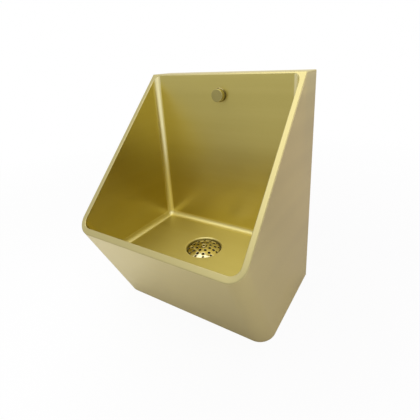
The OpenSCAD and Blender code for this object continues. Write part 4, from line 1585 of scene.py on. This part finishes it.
@dataclass
class Trap:
    """The bottle trap under the fitting, with its lift-out tube, and the outlet's union."""

    bowl: Bowl
    radius: float = 46.8
    wall: float = 3.0
    low: float = 5.0
    top: float = 89.5
    cap_low: float = 91.5
    cap_top: float = 97.5
    skirt: float = 11.0
    skirt_thick: float = 3.0
    ribs: int = 24
    tail: float = 23.9
    axis: float = 56.0
    pipe: float = 20.0
    pipe_wall: float = 2.0
    spigot: float = 22.0
    spigot_end: float = 60.0
    pipe_end: float = 158.0
    dip: float = 20.0
    dip_wall: float = 2.4
    dip_low: float = 15.0
    dip_top: float = 107.0
    dip_seat: float = 22.6
    ring_low: float = 96.0
    ring: Triple = (20.1, 20.9, 2.0)
    bar: tuple[float, float] = (7.0, 8.0)
    union_flats: float = 52.0
    overlap: float = 8.0

    @property
    def bore(self) -> float:
        """Radius of the outlet's bore."""
        return self.pipe - self.pipe_wall

    def out(self, distance: float) -> Triple:
        """A point on the outlet's axis."""
        return (0.0, self.bowl.drain_y + distance, self.axis)

    def bottle(self) -> bpy.types.Object:
        """The body as a turned cup with a threaded neck, and its spigot."""
        r, inner, low, top = self.radius, self.radius - self.wall, self.low, self.top
        floor = self.low + self.wall
        outside = [(0.0, low), (r - 4.0, low), (r - 2.5, low + 0.3), (r - 1.2, low + 1.2),
                   (r - 0.3, low + 2.5), (r, low + 4.0), (r, low + 4.6), (r, top - 16.0)]
        inside = [(r - 0.9, top), (inner + 0.3, top), (inner, top - 0.3), (inner, floor + 3.0),
                  (inner - 0.9, floor + 0.9), (inner - 3.0, floor), (0.0, floor)]
        cup = turned([outside, threaded(r, 0.8, 4.0, top - 14.0, top - 0.3, 144), inside],
                     self.bowl.at(0), around=144)
        start, end, wide, bore = r - 2.0, self.spigot_end, self.spigot, self.bore
        front = [(bore, start), (wide + 2.5, start), (wide + 0.8, start + 2.4),
                 (wide, start + 2.9)]
        rear = [(wide - 0.8, end), (bore + 0.3, end), (bore, end - 0.3), (bore, start)]
        spigot = turned([front, threaded(wide, 0.7, 3.0, start + 3.0, end - 0.3), rear],
                        self.out(0), Axis.REARWARD)
        return make_mesh("trap_bottle", [cup, spigot])

    def cap(self) -> Patch:
        """The screw cap: its outer radius rises by a rib's height times the sixth power of
        cos(half the rib angle), fading towards the top."""
        inside, around = self.radius + CLEAR, self.ribs * 8
        r = inside + self.skirt_thick
        a = np.linspace(0, 2 * np.pi, around + 1)
        rib = np.abs(np.cos(self.ribs * a / 2 + np.pi / 2)) ** 6
        low, deck, top = self.cap_low - self.skirt, self.cap_low, self.cap_top
        boss, tail = self.tail + self.wall, self.tail + CLEAR
        outer = [(r - 0.6, low, 0.0), (r, low + 0.6, 0.6), (r, low + 1.2, 1.0),
                 (r, deck + 1.2, 1.0), (r, deck + 2.6, 0.5), (r, deck + 3.2, 0.0),
                 (r, top - 2.4, 0.0), (r - 0.3, top - 1.4, 0.0), (r - 0.9, top - 0.5, 0.0),
                 (r - 1.8, top - 0.1, 0.0), (r - 2.4, top, 0.0)]
        rest = [*bored(tail, top, low, 0.4), (boss - 0.4, low), (boss, low + 0.4),
                (boss, deck - 0.5), (boss + 0.5, deck), (inside - 0.5, deck),
                (inside, deck - 0.5), (inside, low + 0.5), (inside + 0.5, low),
                (r - 0.6, low)]
        return turned([[(x + k * rib, z) for x, z, k in outer], rest], self.bowl.at(0),
                      around=around)

    def tube(self) -> bpy.types.Object:
        """The lift-out tube with its seat flange, and the bar across its mouth: a blunt
        oblong that widens to a round boss about a hole."""
        r, inner = self.dip, self.dip - self.dip_wall
        top, seat = self.dip_top, self.dip_seat
        body = lathe([(inner, self.dip_low, 0.4), (r, self.dip_low, 0.4), (r, top - 1.5, 0.2),
                      (seat, top - 1.5, 0.25), (seat, top, 0.4), (inner, top, 0.4)],
                     self.bowl.at(0))
        width, high = self.bar
        reach, boss, bore, blunt = inner + 0.6, 6.0, 3.0, 0.25
        a = np.linspace(0, 2 * np.pi, FACETS + 1)
        x = reach * np.sign(np.cos(a)) * np.abs(np.cos(a)) ** blunt
        y = width / 2 * np.sign(np.sin(a)) * np.abs(np.sin(a)) ** blunt
        bulge = np.sqrt(np.maximum(boss ** 2 - x ** 2, 0))
        y = np.sign(np.sin(a)) * np.maximum(np.abs(y), np.where(np.abs(x) < boss, bulge, 0))
        edge, hole = np.stack([x, y], -1), bore * compass(a)[:, :2]
        rows = [(hole, top - high), (edge * 0.97, top - high), (edge, top - high + 0.4),
                (edge, top - 0.6), (edge * 0.97, top - 0.2), (hole * 1.1, top - 0.2),
                (hole, top - 0.5), (hole, top - high)]
        points = np.stack([np.column_stack([xy, np.full(len(a), z)]) for xy, z in rows])
        bar = patch(points + [0, self.bowl.drain_y, 0], Grain.ALONG)
        return make_mesh("lift_out_tube", [body, bar])

    def build(self, finishes: Finishes) -> None:
        """Builds the trap, its seals and tube, and the outlet.

        Args:
            finishes: The finishes.
        """
        f, rear, bore, wide = finishes, Axis.REARWARD, self.bore, self.spigot
        f.piece("trap_lid", self.cap(), f.plastic, "trap_cap")
        f.piece("lid_seal", ring(self.radius - self.wall, self.radius, 2.0,
                                 self.bowl.at(self.top)), f.rubber, "trap_cap_seal")
        f.dress(self.bottle(), f.plastic, "trap_body")
        f.dress(self.tube(), f.plastic, "dip_tube")
        inner, outer, high = self.ring
        f.piece("tube_ring", lathe([(inner, 0, 0.3), (outer, 0, 0.35), (outer, high, 0.35),
                                    (inner, high, 0.3)], self.bowl.at(self.ring_low)),
                f.rubber, "dip_tube_ring")
        f.piece("outlet_washer", ring(bore, wide, 3.0, self.out(self.spigot_end), rear),
                f.rubber, "outlet_seal")
        start = self.spigot_end - self.overlap
        shoulder = self.spigot_end + 6.3 - start
        f.piece("outlet_union", union(self.union_flats, wide + CLEAR, shoulder,
                                      self.pipe + 0.8, 2.7, self.out(start)),
                f.plastic, "outlet_nut")
        end = self.pipe_end - self.bowl.drain_y
        p, neck, s = self.pipe, self.pipe + 0.5, self.spigot_end + 3.0
        f.piece("outlet_tube",
                lathe([(bore, s, 0.3), (wide, s, 0.3), (wide, s + 3.0, 0.4),
                       (neck, s + 3.0, 0.1), (neck, s + 11.0, 0.3), (p, s + 11.2, 0.1),
                       (p, end, 0.5), (bore, end, 0.4)], self.out(0), rear),
                f.plastic, "outlet_pipe")


@dataclass
class Hanging:
    """The rail across the casing's back, and the bracket that it hooks over."""

    view: SideView
    thick: float = 2.5
    fold: float = 3.5
    rail_top: float = 372.0
    rail_y: float = 142.5
    rail_deep: float = 9.5
    hook: float = 16.0
    front: float = 32.0
    width: float = 240.0
    pitch: float = 180.0
    hole: float = 4.25
    hole_height: float = 321.2
    window: float = 14.0
    plate_low: float = 290.2
    lip_y: float = 146.0
    lip_top: float = 369.2
    step: float = 349.7

    def strip(self, path: Array, x: Array) -> Array:
        """A folded strip's outer face: its side view (y, z) carried along x."""
        grid = np.broadcast_to(x[None, :, None], (len(path), len(x), 1))
        return np.concatenate([grid, np.repeat(path[:, None], len(x), 1)], -1)

    def rail(self) -> bpy.types.Object:
        """Rows run up the front, over the top and down the hook behind."""
        back = self.rail_y + self.rail_deep
        path = rounded([(self.rail_y, self.rail_top - self.front, 0),
                        (self.rail_y, self.rail_top, self.fold),
                        (back, self.rail_top, self.fold),
                        (back, self.rail_top - self.hook, 0)], 5, closed=False)
        half = self.view.width / 2 - self.view.sheet
        return make_mesh("folded_rail", [patch(self.strip(path, np.linspace(-half, half, 9)),
                                               Grain.ACROSS)], self.thick)

    def bracket(self) -> bpy.types.Object:
        """Rows run up the plate, forward along the step and up the lip, with two screw
        holes in the plate."""
        plate_y, inner = self.view.wall_y - self.thick, self.fold - self.thick
        low, high = self.hole_height - self.window / 2, self.hole_height + self.window / 2
        bent = rounded([(plate_y, high, 0), (plate_y, self.step, inner),
                        (self.lip_y, self.step, self.fold), (self.lip_y, self.lip_top, 0)],
                       5, closed=False)
        path = np.concatenate([[[plate_y, self.plate_low], [plate_y, low]], bent])
        near, far = self.pitch / 2 - self.window / 2, self.pitch / 2 + self.window / 2
        x = np.array([-self.width / 2, -far, -near, 0, near, far, self.width / 2])
        face = patch(self.strip(path, x), Grain.ACROSS)
        face.keep = np.ones((len(path) - 1, len(x) - 1), bool)
        face.keep[1, [1, 4]] = False
        corners = [face.points[[1, 1, 2, 2], [i, i + 1, i + 1, i]] for i in (1, 4)]
        return make_mesh("wall_hook", [face, *[punched(c, self.hole) for c in corners]],
                         self.thick)

    def build(self, finishes: Finishes) -> None:
        """Builds the rail and the bracket."""
        finishes.dress(self.rail(), finishes.steel, "hanging_rail")
        finishes.dress(self.bracket(), finishes.steel, "wall_bracket")


# The studio --------------------------------------------------------------------------------


@dataclass
class Studio:
    """Camera, floor, lamps and world."""

    place: Triple = (339.101, -465.401, 487.914)
    yaw: float = 31.704
    pitch: float = -19.734
    roll: float = -2.871
    focal: float = 317.266
    middle: tuple[float, float] = (220.525, 172.051)
    frame_px: float = 420.0
    white_share: float = 0.95
    mirrored: float = 0.1
    world: float = 0.85
    # floor tones: painted light (pale) and painted shade (left, right, rear) for the metal to
    # mirror
    pale_tone: Triple = (0.84, 0.84, 0.88)
    left_tone: Triple = (0.36, 0.34, 0.33)
    right_tone: Triple = (0.52, 0.50, 0.52)
    rear_tone: Triple = (0.38, 0.34, 0.38)
    left_fade: tuple[float, float] = (0.35, 1.0)
    right_fade: tuple[float, float] = (0.35, 0.6)
    right_to_left: tuple[float, float] = (0.15, -0.15)
    rearward: tuple[float, float] = (-0.15, 0.35)
    whitening: tuple[float, float] = (0.3, 1.6)

    def camera(self) -> None:
        """Places the camera: looking along the yaw and pitch, then rolled, with the optical
        axis off the picture's middle by the shift."""
        a, e, r = (math.radians(v) for v in (self.yaw, self.pitch, self.roll))
        ahead = Vector((-math.sin(a) * math.cos(e), math.cos(a) * math.cos(e), math.sin(e)))
        right = ahead.cross(Vector((0, 0, 1))).normalized()
        up = right.cross(ahead)
        across = math.cos(r) * right + math.sin(r) * up
        above = -math.sin(r) * right + math.cos(r) * up
        data = bpy.data.cameras.new("camera")
        data.sensor_width, data.sensor_fit = 36.0, "HORIZONTAL"
        data.lens = data.sensor_width * self.focal / self.frame_px
        data.shift_x = -(self.middle[0] - self.frame_px / 2) / self.frame_px
        data.shift_y = (self.middle[1] - self.frame_px / 2) / self.frame_px
        data.clip_start, data.clip_end = 0.01, 30.0
        cam = bpy.data.objects.new("camera", data)
        bpy.context.scene.collection.objects.link(cam)
        turn = Matrix((across, above, -ahead)).transposed()
        cam.matrix_world = Matrix.Translation(Vector(self.place) * MM) @ turn.to_4x4()
        bpy.context.scene.camera = cam

    def floor(self) -> None:
        """A wide round floor, just under the object."""
        rows = [(float(r), -0.3) for r in (20000, 6000, 3000, 1800, 1000, 600, 300, 0.01)]
        obj = make_mesh("floor", [turned([rows], (0.0, 0.0, 0.0), around=FACETS)])
        obj.data.materials.append(self.floor_material())

    def floor_material(self) -> Material:
        """A floor painted with light and shade for the metal to mirror: near the object painted
        light on the left and painted shade on the right, far from it painted shade on the left
        and painted light on the right, and painted shade behind. The camera sees it as almost
        white, and quite white far away: the share of plain white rises with the distance from
        the object. From below it is clear, so that the base can be seen."""
        material, t = new_material("pale_floor")
        place = t.add("TexCoord").outputs["Object"]
        x, y, _ = t.parts(place)
        away_from = t.length(place)
        # painted light and shade on the floor, seen mostly in the metal's reflections
        left = t.mix(t.span(away_from, *self.left_fade), self.pale_tone, self.left_tone)
        right = t.mix(t.span(away_from, *self.right_fade), self.right_tone, self.pale_tone)
        tone = t.mix(t.span(x, *self.right_to_left), right, left)
        tone = t.mix(t.span(y, *self.rearward), tone, self.rear_tone)
        shader = t.add("BsdfPrincipled", {"Base Color": tone, "Roughness": 0.9,
                                          "Specular IOR Level": 0.1})
        glow = t.add("Emission", {"Color": (1, 1, 1, 1), "Strength": 1.0})
        path = t.add("LightPath")
        share = t.math("MULTIPLY", path.outputs["Is Camera Ray"],
                       t.span(away_from, *self.whitening, self.white_share, 1.0))
        share = t.math("MAXIMUM", share, t.math("MULTIPLY", path.outputs["Is Glossy Ray"],
                                                self.mirrored))
        both = t.add("MixShader", {0: share, 1: shader.outputs[0], 2: glow.outputs[0]})
        clear = t.add("BsdfTransparent")
        below = t.add("NewGeometry").outputs["Backfacing"]
        sides = t.add("MixShader", {0: below, 1: both.outputs[0], 2: clear.outputs[0]})
        t.add("OutputMaterial", {"Surface": sides.outputs[0]})
        return material

    def lamp(self, name: str, at: Triple, size: tuple[float, float], power: float,
             tint: Triple) -> None:
        """One soft rectangular lamp that faces the object.

        Args:
            name: Name of the lamp.
            at: Its place, in metres.
            size: Its width and height, in metres.
            power: Its power, in watts.
            tint: Its colour.
        """
        data = bpy.data.lights.new(name, "AREA")
        data.shape, data.size, data.size_y = "RECTANGLE", size[0], size[1]
        data.energy, data.color = power, tint
        lamp = bpy.data.objects.new(name, data)
        bpy.context.scene.collection.objects.link(lamp)
        lamp.location, lamp.visible_camera = at, False
        aim = Vector((0, 0, 0.25)) - Vector(at)
        lamp.rotation_euler = aim.to_track_quat("-Z", "Y").to_euler()

    def lights(self) -> None:
        """A wide overhead lamp, a rose-tinted one low on the right, and a plain world."""
        self.lamp("overhead", (0.0, -0.4, 2.6), (2.6, 2.4), 27.0, (1.0, 0.99, 0.95))
        self.lamp("side", (2.4, 1.2, 1.0), (1.4, 1.6), 8.0, (1.0, 0.80, 0.90))
        world = bpy.data.worlds.new("studio")
        world.use_nodes = True
        t = Tree(world.node_tree)
        path = t.add("LightPath")
        plain = t.add("Background", {"Color": (1.0, 0.995, 0.98, 1), "Strength": self.world})
        white = t.add("Background", {"Color": (1, 1, 1, 1), "Strength": 1.0})
        both = t.add("MixShader", {0: path.outputs["Is Camera Ray"], 1: plain.outputs[0],
                                   2: white.outputs[0]})
        t.add("OutputWorld", {"Surface": both.outputs[0]})
        bpy.context.scene.world = world
        bpy.context.scene.view_settings.view_transform = "Standard"

    def build(self) -> None:
        """Sets the studio up."""
        self.camera()
        self.floor()
        self.lights()


def main() -> None:
    """Builds the studio, the finishes and every sub-assembly."""
    Studio().build()
    finishes = Finishes.build()
    view, columns = SideView(), Columns()
    rim = Rim(view, columns)
    bowl = Bowl(view, rim)
    for part in (rim, Casing(view, rim), bowl, Waste(bowl), Strainer(bowl), Spreader(bowl),
                 Trap(bowl), Hanging(view)):
        part.build(finishes)


if __name__ == "__main__":
    main()
